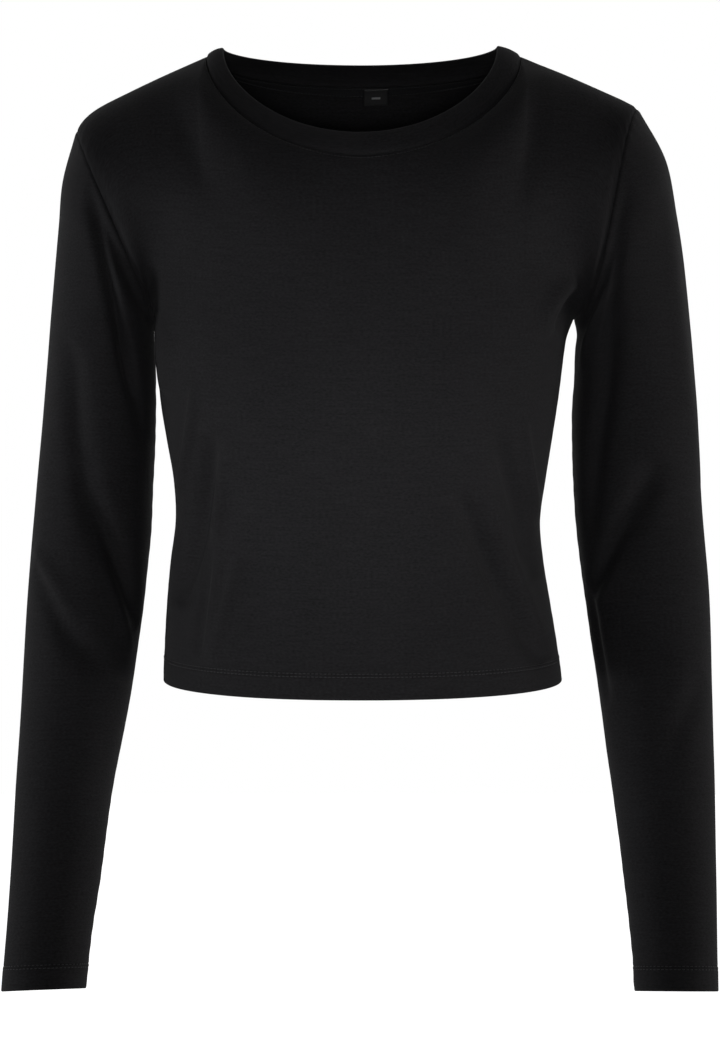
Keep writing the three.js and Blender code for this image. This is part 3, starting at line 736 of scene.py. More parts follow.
@dataclass(frozen=True)
class Stitch:
    """One stitch of sewing thread, modelled once and repeated along each row."""

    length: float = 2.3
    pitch: float = 2.9
    radius: float = 0.24
    segments: int = 6
    rings: int = 4

    def model(self) -> tuple[Array, list[tuple[int, ...]]]:
        """The stitch's vertices in millimetres, along X with Z up, and its faces."""
        bpy.ops.object.select_all(action="DESELECT")
        bpy.ops.mesh.primitive_uv_sphere_add(segments=self.segments, ring_count=self.rings,
                                             radius=self.radius, rotation=(0, QUARTER_TURN, 0))
        bpy.ops.object.transform_apply(location=False, rotation=True, scale=False)
        bpy.ops.object.mode_set(mode="EDIT")
        bpy.ops.mesh.select_all(action="SELECT")
        bpy.ops.transform.resize(value=(self.length / 2 / self.radius, 1, 0.85))
        bpy.ops.mesh.select_all(action="DESELECT")
        bpy.ops.object.mode_set(mode="OBJECT")
        thing = bpy.context.object
        for vertex in thing.data.vertices:
            vertex.select = abs(vertex.co.x) > 0.45 * self.length
        bpy.ops.object.mode_set(mode="EDIT")
        bpy.ops.transform.translate(value=(0, 0, -1.2 * self.radius))
        bpy.ops.object.mode_set(mode="OBJECT")
        places = np.array([vertex.co for vertex in thing.data.vertices])
        faces = [tuple(face.vertices) for face in thing.data.polygons]
        bpy.data.objects.remove(thing)
        return places, faces

    def row(self, places: Array, outwards: Array) -> tuple[Array, Array, Array]:
        """Places along a line for each stitch.

        Args:
            places: points of the line.
            outwards: outward directions there.

        Returns:
            Middles, directions along and outward directions.
        """
        run = np.concatenate([[0], np.cumsum(np.linalg.norm(np.diff(places, axis=0), axis=1))])
        count = max(int(run[-1] / self.pitch), 1)
        middles = (np.arange(count) + 0.5) * run[-1] / count

        def at(values: Array, ways: Array) -> Array:
            return np.stack([np.interp(ways, run, values[:, k]) for k in range(3)], -1)

        ahead = unit(at(places, middles + 0.6) - at(places, middles - 0.6))
        up = unit(at(outwards, middles))
        return at(places, middles), ahead, up

    def sew(self, name: str, lines: Sequence[tuple[Array, Array]], lift: float = 0.12) -> bpy.types.Object:
        """Rows of stitches as one mesh.

        Args:
            name: the piece's name.
            lines: points and outward directions of each row.
            lift: height of the thread's middle over the cloth.

        Returns:
            The piece.
        """
        model, model_faces = self.model()
        points, faces = [], []
        for places, outwards in lines:
            middles, ahead, up = self.row(places, outwards)
            beside = unit(np.cross(up, ahead))
            up = np.cross(ahead, beside)
            frames = np.stack([ahead, beside, up], 1)
            for middle, axes in zip(middles + up * lift, frames):
                points.append(middle + model @ axes)
        stacked = np.array(points)
        for i in range(len(stacked)):
            faces += [tuple(int(i * len(model) + k) for k in face) for face in model_faces]
        return new_mesh(name, stacked.reshape(-1, 3), faces)


STITCH = Stitch()
FINE_STITCH = Stitch(length=1.9, pitch=2.5, radius=0.2)


# Finishes

class Nodes:
    """Short ways to add and join shader nodes in one tree."""

    def __init__(self, tree: bpy.types.NodeTree) -> None:
        """Keeps the tree that nodes are added to."""
        self.tree = tree

    def add(self, kind: str, inputs: dict[str | int, object] | None = None,
            **settings: object) -> bpy.types.Node:
        """A node with its sockets set or joined.

        Args:
            kind: the node's type.
            inputs: a value or a socket for each input by name or place.
            settings: the node's own settings.

        Returns:
            The node.
        """
        node = self.tree.nodes.new(kind)
        for key, value in settings.items():
            setattr(node, key, value)
        for key, value in (inputs or {}).items():
            if isinstance(value, bpy.types.NodeSocket):
                self.tree.links.new(value, node.inputs[key])
            else:
                node.inputs[key].default_value = value
        return node

    def math(self, operation: str, *values: object) -> bpy.types.NodeSocket:
        """Result of a math node."""
        return self.add("ShaderNodeMath", dict(enumerate(values)), operation=operation).outputs[0]

    def blend(self, factor: bpy.types.NodeSocket, first: Sequence[float],
              last: Sequence[float]) -> bpy.types.NodeSocket:
        """Colour between two colours."""
        node = self.add("ShaderNodeMix", {"Factor": factor}, data_type="RGBA")
        for label, value in (("A", first), ("B", last)):
            socket = next(k for k in node.inputs if k.name == label and k.type == "RGBA")
            socket.default_value = (*value, 1)
        return next(k for k in node.outputs if k.type == "RGBA")


def new_group(name: str, inputs: dict[str, tuple[str, object]],
              outputs: dict[str, str]) -> bpy.types.NodeTree:
    """Empty shader node group.

    Args:
        name: its name.
        inputs: a socket type and a first value for each input.
        outputs: a socket type for each output.

    Returns:
        The group.
    """
    group = bpy.data.node_groups.new(name, "ShaderNodeTree")
    for label, (kind, value) in inputs.items():
        socket = group.interface.new_socket(label, in_out="INPUT", socket_type=kind)
        if value is not None:
            socket.default_value = value
    for label, kind in outputs.items():
        group.interface.new_socket(label, in_out="OUTPUT", socket_type=kind)
    return group


def knit_group() -> bpy.types.NodeTree:
    """Group for fine jersey: columns of small V-shaped stitches with slight streaks in the yarn."""
    group = new_group("fine_jersey", {
        "Cloth": ("NodeSocketVector", None),
        "Column": ("NodeSocketFloat", 0.0008),
        "Course": ("NodeSocketFloat", 0.0006),
    }, {"Height": "NodeSocketFloat", "Groove": "NodeSocketFloat", "Slub": "NodeSocketFloat",
        "Streak": "NodeSocketFloat"})
    nodes = Nodes(group)
    start = nodes.add("NodeGroupInput")
    parts = nodes.add("ShaderNodeSeparateXYZ", {0: start.outputs["Cloth"]})
    across = nodes.math("DIVIDE", parts.outputs["X"], start.outputs["Column"])
    along_column = nodes.math("DIVIDE", parts.outputs["Y"], start.outputs["Course"])
    off_middle = nodes.math("SUBTRACT", nodes.math("FRACT", across), 0.5)
    saw = nodes.math("MULTIPLY", nodes.math("ABSOLUTE", off_middle), 2.0)
    groove = nodes.math("MULTIPLY", saw, saw)
    crest = nodes.math("SUBTRACT", 1.0, groove)
    slanted = nodes.math("ADD", along_column, nodes.math("MULTIPLY", saw, 0.8))
    phase = nodes.math("MULTIPLY", slanted, 2 * math.pi)
    loops = nodes.math("MULTIPLY_ADD", nodes.math("SINE", phase), 0.3, 0.7)
    height = nodes.math("MULTIPLY", crest, loops)
    yarns = []
    for across_yarn, along_yarn in ((430.0, 760.0), (45.0, 520.0)):
        inputs = {0: start.outputs["Cloth"], 1: (across_yarn, along_yarn, 1.0)}
        stretch = nodes.add("ShaderNodeVectorMath", inputs, operation="MULTIPLY")
        noise = nodes.add("ShaderNodeTexNoise", {"Vector": stretch.outputs[0], "Scale": 1.0, "Detail": 2.0})
        yarns.append(noise.outputs[0])
    end = nodes.add("NodeGroupOutput")
    for label, socket in (("Height", height), ("Groove", groove), ("Slub", yarns[0]), ("Streak", yarns[1])):
        group.links.new(socket, end.inputs[label])
    return group


def fuzz_group() -> bpy.types.NodeTree:
    """Group for lint and small changes of tone over cloth."""
    group = new_group("cloth_tone", {
        "Place": ("NodeSocketVector", None),
    }, {"Tone": "NodeSocketFloat", "Fibre": "NodeSocketFloat"})
    nodes = Nodes(group)
    start = nodes.add("NodeGroupInput")
    end = nodes.add("NodeGroupOutput")
    for label, scale, detail in (("Tone", 16.0, 3.0), ("Fibre", 1600.0, 2.0)):
        inputs = {"Vector": start.outputs["Place"], "Scale": scale, "Detail": detail}
        group.links.new(nodes.add("ShaderNodeTexNoise", inputs).outputs[0], end.inputs[label])
    return group


def new_material(name: str) -> tuple[bpy.types.Material, Nodes, bpy.types.Node]:
    """Empty material, its nodes and its shader."""
    material = bpy.data.materials.new(name)
    material.use_nodes = True
    tree = material.node_tree
    return material, Nodes(tree), tree.nodes["Principled BSDF"]


@dataclass(frozen=True)
class ClothFinish:
    """Black knitted or woven cloth."""

    name: str
    colour: tuple[float, float, float] = (0.0178, 0.0172, 0.019)
    # deep is the darkest colour, reached in slubs and streaks and also in the knit's grooves as painted
    # shade
    deep: tuple[float, float, float] = (0.0042, 0.004, 0.0045)
    roughness: float = 0.75
    sheen: float = 0.03
    slub: float = 1.5
    streak: float = 0.6
    column: float = 0.0008
    course: float = 0.0006
    bump: float = 0.35

    def material(self, groups: dict[str, bpy.types.NodeTree]) -> bpy.types.Material:
        """The finish as a material.

        Args:
            groups: the shared node groups by name.

        Returns:
            The material.
        """
        material, nodes, shader = new_material(self.name)
        tree = material.node_tree
        cloth = nodes.add("ShaderNodeUVMap", uv_map="cloth")
        place = nodes.add("ShaderNodeTexCoord")
        knit = nodes.add("ShaderNodeGroup", node_tree=groups["knit"])
        tree.links.new(cloth.outputs[0], knit.inputs["Cloth"])
        knit.inputs["Column"].default_value = self.column
        knit.inputs["Course"].default_value = self.course
        tone = nodes.add("ShaderNodeGroup", node_tree=groups["tone"])
        tree.links.new(place.outputs["Object"], tone.inputs["Place"])
        level = 0.6 - self.slub / 2 - self.streak / 2
        # The knit's grooves darken the colour as painted shade between the columns of stitches; slub, streak
        # and tone are the yarn's own random changes of tone.
        mixed = nodes.math("MULTIPLY_ADD", knit.outputs["Groove"], -0.3, level)
        mixed = nodes.math("MULTIPLY_ADD", knit.outputs["Slub"], self.slub, mixed)
        mixed = nodes.math("MULTIPLY_ADD", knit.outputs["Streak"], self.streak, mixed)
        mixed = nodes.math("MULTIPLY_ADD", tone.outputs["Tone"], 0.3, nodes.math("SUBTRACT", mixed, 0.15))
        tree.links.new(nodes.blend(mixed, self.deep, self.colour), shader.inputs["Base Color"])
        rough = nodes.math("MULTIPLY_ADD", tone.outputs["Fibre"], 0.16, self.roughness - 0.08)
        tree.links.new(rough, shader.inputs["Roughness"])
        raised = nodes.math("MULTIPLY_ADD", tone.outputs["Fibre"], 0.35, knit.outputs["Height"])
        raised = nodes.math("MULTIPLY_ADD", knit.outputs["Slub"], 1.4, raised)
        bump = nodes.add("ShaderNodeBump", {"Height": raised, "Strength": self.bump, "Distance": 0.00025})
        tree.links.new(bump.outputs[0], shader.inputs["Normal"])
        shader.inputs["Sheen Weight"].default_value = self.sheen
        shader.inputs["Sheen Roughness"].default_value = 0.4
        shader.inputs["Specular IOR Level"].default_value = 0.16
        return material


@dataclass(frozen=True)
class ThreadFinish:
    """Spun sewing thread with a slight lustre."""

    name: str
    colour: tuple[float, float, float] = (0.015, 0.015, 0.0165)
    roughness: float = 0.5

    def material(self) -> bpy.types.Material:
        """The finish as a material."""
        material, nodes, shader = new_material(self.name)
        tree = material.node_tree
        place = nodes.add("ShaderNodeTexCoord")
        inputs = {"Vector": place.outputs["Object"], "Scale": 900.0, "Distortion": 1.0}
        twist = nodes.add("ShaderNodeTexWave", inputs, bands_direction="DIAGONAL")
        # The colour follows the twist's bump: darker in its grooves as painted shade and lighter on its
        # ridges as painted highlight.
        shade = nodes.add("ShaderNodeValToRGB", {"Fac": twist.outputs["Fac"]})
        shade.color_ramp.elements[0].color = (*(0.7 * c for c in self.colour), 1)
        shade.color_ramp.elements[1].color = (*(1.25 * c for c in self.colour), 1)
        tree.links.new(shade.outputs[0], shader.inputs["Base Color"])
        inputs = {"Height": twist.outputs["Fac"], "Strength": 0.3, "Distance": 0.00005}
        bump = nodes.add("ShaderNodeBump", inputs)
        tree.links.new(bump.outputs[0], shader.inputs["Normal"])
        shader.inputs["Roughness"].default_value = self.roughness
        shader.inputs["Sheen Weight"].default_value = 0.1
        return material


@dataclass(frozen=True)
class LabelFinish:
    """Woven satin label with one small pale bar."""

    name: str
    colour: tuple[float, float, float] = (0.006, 0.006, 0.007)
    bar: tuple[float, float, float] = (0.32, 0.32, 0.33)
    bar_size: tuple[float, float] = (0.0062, 0.0016)

    def material(self, centre: tuple[float, float]) -> bpy.types.Material:
        """The finish as a material.

        Args:
            centre: middle of the bar on the label, in metres.

        Returns:
            The material.
        """
        material, nodes, shader = new_material(self.name)
        tree = material.node_tree
        cloth = nodes.add("ShaderNodeUVMap", uv_map="cloth")
        parts = nodes.add("ShaderNodeSeparateXYZ", {0: cloth.outputs[0]})
        inside = []
        for axis, middle, size in zip("XY", centre, self.bar_size):
            gap = nodes.math("ABSOLUTE", nodes.math("SUBTRACT", parts.outputs[axis], middle))
            inside.append(nodes.math("LESS_THAN", gap, size / 2))
        mask = nodes.math("MULTIPLY", *inside)
        inputs = {"Vector": cloth.outputs[0], "Scale": 1500.0}
        weave = nodes.add("ShaderNodeTexWave", inputs, bands_direction="Y")
        # The colour is darker where the weave's bump is low: painted shade along the weave.
        shade = nodes.math("MULTIPLY_ADD", weave.outputs["Fac"], 0.4, 0.6)
        colour = nodes.blend(mask, self.colour, self.bar)
        shaded = nodes.add("ShaderNodeVectorMath", {0: colour}, operation="SCALE")
        tree.links.new(shade, shaded.inputs["Scale"])
        tree.links.new(shaded.outputs[0], shader.inputs["Base Color"])
        inputs = {"Height": weave.outputs["Fac"], "Strength": 0.25, "Distance": 0.00008}
        bump = nodes.add("ShaderNodeBump", inputs)
        tree.links.new(bump.outputs[0], shader.inputs["Normal"])
        shader.inputs["Roughness"].default_value = 0.45
        return material


# The pieces

NECK_ROW = 2.3
EDGE_STEPS = np.array([0, 0.0014, 0.003, 0.005, 0.0075, 0.0105, 0.014, 0.019, 0.026])
HEM_STEPS = np.array([0, 0.5, 1.2, 2.2, 3.6, 5.5, 7.5, 9.5, 11.5, 13, 14, 14.6, 15.1, 15.6,
                      16.2, 16.8, 17.4, 17.9, 18.5, 19.2, 20.2, 21.6, 23.5])


@dataclass(frozen=True)
class Hem:
    """A hem turned up and sewn with two rows."""

    depth: float = 18.0
    rows: tuple[float, float] = (14.9, 17.3)
    bulk: float = 0.35
    groove: float = 0.38

    def relief(self, height: Array, run: Array, seed: int) -> Array:
        """Heights of the cloth over a hem.

        Args:
            height: way up from the edge.
            run: way along the hem.
            seed: chooses the puckers.

        Returns:
            Heights in millimetres.
        """
        total = self.bulk * (1 - smooth(height, self.rows[0] - 0.5, self.depth + 1.2))
        for row in self.rows:
            total = total - self.groove * np.exp(-(((height - row) / 0.55) ** 2))
        middle = sum(self.rows) / 2
        total = total + 0.14 * np.exp(-(((height - middle) / 0.7) ** 2))
        return total + puckers(run, np.abs(height - middle), 8.5, 4.5, 0.16, seed)


HEM = Hem()
CUFF = Hem(depth=17.0, rows=(14.2, 16.6))


@dataclass
class Panel:
    """The front or the back of the body."""

    name: str
    face: Face
    folds: tuple[Fold, ...]
    seed: int
    span: float = 62
    blur: int = 10
    cloth: float = 1.0
    double: float = 1.9
    columns: int = 150
    body_rows: int = 86
    yoke_rows: int = 66
    across: Array = field(init=False)
    grid: ClothGrid = field(init=False)
    thick: Array = field(init=False)

    def __post_init__(self) -> None:
        """Works out the grid of the outer face."""
        inner = np.linspace(-1 + 0.034, 1 - 0.034, self.columns)
        self.across = np.concatenate([-1 + EDGE_STEPS, inner, 1 - EDGE_STEPS[::-1]])
        span = CUT.underarm_z - CUT.hem_z
        hem = HEM_STEPS / span * CUT.body_share
        body = np.linspace(hem[-1], CUT.body_share, self.body_rows)[1:]
        yoke = CUT.body_share + (1 - CUT.body_share) * np.linspace(0, 1 - 0.034, self.yoke_rows)[1:]
        top = CUT.body_share + (1 - CUT.body_share) * (1 - EDGE_STEPS[::-1])
        up = np.concatenate([hem, body, yoke, top])
        self.grid = self.surface(*np.meshgrid(self.across, up))
        height = arc(self.grid.points, 0).mean(1)
        self.thick = np.where(height < HEM.depth + 0.3, self.double, self.cloth)

    def surface(self, across: Array, up: Array) -> ClothGrid:
        """The panel's outer face.

        Args:
            across: grid of places from edge to edge.
            up: grid of places from hem to top.

        Returns:
            The grid with seams, folds and hem.
        """
        sign = self.face.value
        base = CUT.panel(self.face, across, up) - np.array([0, sign * CUT.seam / 2, 0])
        limits = np.array([[-1, 1], [0, 1]])
        normals = tangent_normals(lambda a, b: CUT.panel(self.face, a, b), across, up, limits)
        if np.mean(normals[..., 1]) * sign > 0:
            normals = -normals
        run, rise_mm = arc(base, 1), arc(base, 0)
        edge_gap = np.minimum(run, run[:, -1:] - run)
        top_gap = rise_mm[-1:] - rise_mm
        middle = np.argmin(np.abs(across[0]))
        u = run - run[:, middle:middle + 1]
        x, z = base[..., 0], base[..., 2]
        fade = smooth(edge_gap, 2, 26) * smooth(top_gap, 0, 10)
        relief = sum(fold.height(x, z) for fold in self.folds) * fade
        relief = relief + wobble(x, z, self.seed, 0.11) * fade
        relief = relief + HEM.relief(rise_mm, u, self.seed + 1)
        share = np.abs(across)
        neck = 1 - smooth(share, 0.455, 0.495)
        seam_edge = 0.22 * np.exp(-(((top_gap - 1.3) / 0.7) ** 2))
        relief = relief + neck * (seam_edge + valley(top_gap - NECK_ROW, 0.34, 0.5))
        relief = relief + neck * puckers(u, top_gap, 7.5, 4, 0.14, self.seed + 2)
        in_yoke = smooth(up, CUT.body_share, CUT.body_share + 0.02)
        relief = relief + in_yoke * puckers(rise_mm, edge_gap, 11, 7, 0.24, self.seed + 3)
        relief = relief + (1 - in_yoke) * puckers(rise_mm, edge_gap, 13, 6, 0.2, self.seed + 4)
        points = base + normals * relief[..., None]
        points[..., 1] -= sign * self.spanned(base, up) * smooth(edge_gap, 0, 7)
        rise = np.clip((up - CUT.body_share) / (1 - CUT.body_share), 0, 1)
        turn = HALF_TURN * (1 - sign * rise)
        drawn = np.where(across < 0, *(CUT.armhole_pull(side, turn, edge_gap) for side in (RIGHT, LEFT)))
        points += self.edge_directions(across, up) * (valley(edge_gap, 0.75, 1.6) + drawn)[..., None]
        points += self.top_directions(across) * valley(top_gap, 0.75, 1.6)[..., None]
        return ClothGrid(points, normals, u, rise_mm)

    def spanned(self, base: Array, up: Array) -> Array:
        """How far the cloth stands off the base form beside the armholes, where taut cloth spans a hollow.

        Args:
            base: grid of points of the base form.
            up: grid of places from hem to top.

        Returns:
            Distances forwards on the front and backwards on the back, in millimetres.
        """
        rise = (up[:, 0] - CUT.body_share) / (1 - CUT.body_share)
        ahead = -self.face.value * base[..., 1]
        lift = np.zeros_like(ahead)
        middle = base.shape[1] // 2
        for i in np.flatnonzero((rise > 0) & (rise < 0.95)):
            for line in (np.arange(middle), np.arange(base.shape[1] - 1, middle, -1)):
                way = np.abs(base[i, line, 0] - base[i, line[0], 0])
                line = line[way < self.span]
                way, high = way[:len(line)], ahead[i, line]
                hull: list[int] = []
                for k in range(len(line)):
                    while len(hull) > 1:
                        a, b = hull[-2:]
                        if (high[b] - high[a]) * (way[k] - way[a]) > (high[k] - high[a]) * (way[b] - way[a]):
                            break
                        hull.pop()
                    hull.append(k)
                lift[i, line] = np.interp(way, way[hull], high[hull]) - high
        lift *= (smooth(rise, 0.02, 0.15) * (1 - smooth(rise, 0.55, 0.95)))[:, None]
        for _ in range(self.blur):
            for axis in (0, 1):
                lift = (np.roll(lift, 1, axis) + 2 * lift + np.roll(lift, -1, axis)) / 4
        return lift

    def edge_directions(self, across: Array, up: Array) -> Array:
        """Outward directions of the nearer side edge: side seam below the underarm, armhole above it."""
        rise = np.clip((up - CUT.body_share) / (1 - CUT.body_share), 0, 1)
        halves = []
        for side in (RIGHT, LEFT):
            armhole = CUT.armhole_normal(side, HALF_TURN * (1 - self.face.value * rise))
            plain = np.broadcast_to(np.array([side.sign, 0.0, 0.0]), armhole.shape)
            hold = smooth(up, CUT.body_share - 0.02, CUT.body_share + 0.02)[..., None]
            halves.append(unit(plain * (1 - hold) + armhole * hold))
        return np.where((across < 0)[..., None], halves[0], halves[1])

    def top_directions(self, across: Array) -> Array:
        """Outward directions of the top edge: neck seam up to the neck point, shoulder seam after it."""
        share = np.abs(across)
        halves = []
        for side in (RIGHT, LEFT):
            neck = CUT.neck_normal(side, CUT.neck_turn(self.face, share))
            past = np.clip((share - CUT.neck_share) / (1 - CUT.neck_share), 0, 1)
            before, after = np.maximum(past - NEAR, 0), np.minimum(past + NEAR, 1)
            ahead = CUT.shoulder(side, after) - CUT.shoulder(side, before)
            upward = unit(point(-ahead[..., 2] * side.sign, np.zeros_like(share), ahead[..., 0] * side.sign))
            halves.append(np.where((share > CUT.neck_share)[..., None], upward, neck))
        return np.where((across < 0)[..., None], halves[0], halves[1])

    def build(self) -> bpy.types.Object:
        """The panel as a closed sheet."""
        return shell(self.name + "_cloth", self.grid, self.thick, round_first=True)


@dataclass
class Sleeve:
    """A sleeve from the armhole to the cuff."""

    name: str
    side: SideCut
    seed: int
    cloth: float = 1.0
    double: float = 1.9
    rows: int = 212
    turns: int = 132
    grid: ClothGrid = field(init=False)
    thick: Array = field(init=False)

    def __post_init__(self) -> None:
        """Works out the grid of the outer face, from the cuff up."""
        cuff = 1 - HEM_STEPS / SLEEVE_RUN
        head = np.array([0, 0.5, 1.1, 1.8, 2.7, 3.8, 5.2, 7.0])[::-1] / SLEEVE_RUN
        body = np.linspace(cuff[-1], head[0], self.rows)[1:-1]
        at = np.concatenate([cuff, body, head])
        turn = np.linspace(0, 2 * HALF_TURN, self.turns, endpoint=False)
        self.grid = self.surface(*np.meshgrid(turn, at))
        height = arc(self.grid.points, 0).mean(1)
        self.thick = np.where(height < CUFF.depth + 0.3, self.double, self.cloth)

    def surface(self, turn: Array, at: Array) -> ClothGrid:
        """The sleeve's outer face.

        Args:
            turn: grid of places round the sleeve.
            at: grid of shares of its length.

        Returns:
            The grid with folds, seam and cuff hem.
        """
        base = CUT.sleeve(self.side, at, turn)
        limits = np.array([[-np.inf, np.inf], [0, 1]])
        normals = tangent_normals(lambda a, b: CUT.sleeve(self.side, b, a), turn, at, limits)
        spoke = base - base.mean(1, keepdims=True)
        if np.mean(np.sum(normals * spoke, -1)) < 0:
            normals = -normals
        rise_mm = arc(base, 0)
        head_gap = rise_mm[-1:] - rise_mm
        ring = np.concatenate([base, base[:, :1]], 1)
        run = arc(ring, 1)
        girth = run[:, -1:]
        u = run[:, :-1]
        a, b = np.degrees(turn) * math.radians(1) * SLEEVE_GIRTH, at * SLEEVE_RUN
        fade = smooth(head_gap, 0, 12)
        relief = sum(fold.height(a, b) for fold in self.side.folds) * fade
        relief = relief + wobble(base[..., 2], u * 0.8, self.seed, 0.11) * fade * np.sin(turn / 2) ** 0.5
        relief = relief + CUFF.relief(rise_mm, u, self.seed + 1)
        relief = relief + puckers(u, head_gap, 11, 7, 0.24, self.seed + 2)
        seam_gap = np.abs(u - girth * 0.5)
        relief = relief + valley(seam_gap, 0.5, 1.3) + puckers(rise_mm, seam_gap, 14, 6, 0.2, self.seed + 3)
        points = base + normals * relief[..., None]
        armhole = CUT.armhole_normal(self.side, turn)
        drawn = CUT.armhole_pull(self.side, turn, head_gap)
        points += armhole * (valley(head_gap, 0.75, 1.6) + drawn)[..., None]
        return ClothGrid(points, normals, u, rise_mm, wrapped=True)

    def build(self) -> bpy.types.Object:
        """The sleeve as a closed sheet."""
        return shell(self.name + "_cloth", self.grid, self.thick, round_first=True)


@dataclass
class Neckband:
    """The doubled band sewn round the neck."""

    name: str = "neckband"
    thick: float = 2.1
    bulge: float = 1.2
    turns: int = 264
    grid: ClothGrid = field(init=False)

    def __post_init__(self) -> None:
        """Works out the grid of the outer face, from the folded edge down."""
        turn = np.linspace(0, 2 * HALF_TURN, self.turns, endpoint=False)
        up = np.concatenate([np.linspace(0.94, 0.12, 22), [0.09, 0.06, 0.035, 0.015, 0]])
        sides = [self.half(RIGHT, np.minimum(2 * HALF_TURN - turn, HALF_TURN), up),
                 self.half(LEFT, np.minimum(turn, HALF_TURN), up)]
        left = (turn <= HALF_TURN)[None, :, None]
        points, normals = (np.where(left, sides[1][k], sides[0][k]) for k in range(2))
        run = arc(np.concatenate([points, points[:, :1]], 1), 1)[:, :-1]
        self.grid = ClothGrid(points, normals, run, arc(points, 0), wrapped=True)

    def half(self, side: SideCut, turn: Array, up: Array) -> tuple[Array, Array]:
        """Points and outward directions of one side of the band.

        Args:
            side: right or left.
            turn: 0 at the front middle and half a turn at the back middle.
            up: shares from the seam to the folded edge.

        Returns:
            The points and directions.
        """
        low = CUT.neck_seam.place(side.sign, turn)[None]
        high = CUT.neck_edge.place(side.sign, turn)[None]
        share = up[:, None]
        normals = np.broadcast_to(CUT.neck_normal(side, turn)[None], (len(up), len(turn), 3))
        wave = wobble(turn[None] * 95 * side.sign, share * 19, 71, 0.05)
        relief = self.bulge * 4 * share * (1 - share) + valley(share * 19, 0.75, 1.6) + wave * share
        relief = relief + puckers(turn[None] * 95, share * 19, 7.5, 4, 0.14, 72)
        return low + (high - low) * share[..., None] + normals * relief[..., None], normals

    def build(self) -> bpy.types.Object:
        """The band as a closed sheet."""
        thick = np.full(len(self.grid.points), self.thick)
        return shell(self.name + "_cloth", self.grid, thick, round_first=True)


@dataclass
class BackNeck:
    """Tape and label inside the back of the neck."""

    panel: Panel
    tape_depth: float = 1.8
    tape_thick: float = 0.8
    tape: tuple[float, float] = (0.6, 8.6)
    label: tuple[float, float] = (1.4, 15.4)
    label_side: tuple[float, float] = (2.5, 20.5)
    label_depth: float = 2.9
    label_thick: float = 0.5

    def lines(self, drops: Array, depth: float) -> tuple[Array, Array]:
        """Lines inside the back panel at even distances below the neck seam.

        Args:
            drops: distances.
            depth: way in from the panel's outer face.

        Returns:
            Points and outward directions, a row for each line.
        """
        grid = self.panel.grid
        run = arc(grid.points, 0)
        rows = []
        for drop in drops:
            places, outwards = [], []
            for j, whole in enumerate(run[-1]):
                i = int(np.searchsorted(run[:, j], whole - drop))
                t = (whole - drop - run[i - 1, j]) / (run[i, j] - run[i - 1, j])
                places.append(grid.points[i - 1, j] * (1 - t) + grid.points[i, j] * t)
                outwards.append(grid.normals[i - 1, j] * (1 - t) + grid.normals[i, j] * t)
            outwards = unit(np.array(outwards))
            rows.append((np.array(places) - outwards * depth, outwards))
        return np.array([row[0] for row in rows]), np.array([row[1] for row in rows])

    def strip(self, name: str, places: Array, outwards: Array, thick: float) -> bpy.types.Object:
        """A strip of narrow goods as a closed sheet."""
        grid = ClothGrid(places, outwards, arc(places, 1), arc(places, 0))
        return shell(name, grid, np.full(len(places), thick))

    def build_tape(self) -> bpy.types.Object:
        """The tape over the neck seam."""
        held = np.abs(self.panel.across) < CUT.neck_share * 0.95
        places, outwards = self.lines(np.linspace(*self.tape, 9), self.tape_depth)
        return self.strip("neck_tape_cloth", places[:, held], outwards[:, held], self.tape_thick)

    def tape_rows(self) -> list[tuple[Array, Array]]:
        """The two rows sewn along the tape, on its face towards the neck."""
        held = np.abs(self.panel.across) < CUT.neck_share * 0.95
        inside = self.tape_depth + self.tape_thick
        places, outwards = self.lines(np.array([self.tape[0] + 1.1, self.tape[1] - 1.1]), inside)
        return [(places[k][held], -outwards[k][held]) for k in range(2)]

    def build_label(self) -> bpy.types.Object:
        """The label under the tape."""
        places, outwards = self.lines(np.linspace(*self.label, 15), self.label_depth)
        xs = np.linspace(*self.label_side, 19)

        def across(values: Array, row: int) -> Array:
            order = np.argsort(places[row][:, 0])
            known = places[row][order, 0]
            return np.stack([np.interp(xs, known, values[row][order, k]) for k in range(3)], -1)

        rows = [across(places, row) for row in range(len(places))]
        directions = [unit(across(outwards, row)) for row in range(len(places))]
        return self.strip("size_label_cloth", np.array(rows), np.array(directions), self.label_thick)


# The picture

@dataclass(frozen=True)
class Lamp:
    """One large soft lamp."""

    name: str
    place: tuple[float, float, float]
    aim: tuple[float, float, float]
    size: tuple[float, float]
    power: float
    colour: tuple[float, float, float] = (1.0, 1.0, 1.0)
    spread: float = 180.0

    def add(self) -> None:
        """Adds the lamp to the scene."""
        light = bpy.data.lights.new(self.name, "AREA")
        light.shape = "RECTANGLE"
        light.size, light.size_y = self.size
        light.energy = self.power
        light.color = self.colour
        light.spread = math.radians(self.spread)
        lamp = bpy.data.objects.new(self.name, light)
        lamp.location = self.place
        lamp.rotation_euler = (Vector(self.aim) - Vector(self.place)).to_track_quat("-Z", "Y").to_euler()
        bpy.context.scene.collection.objects.link(lamp)


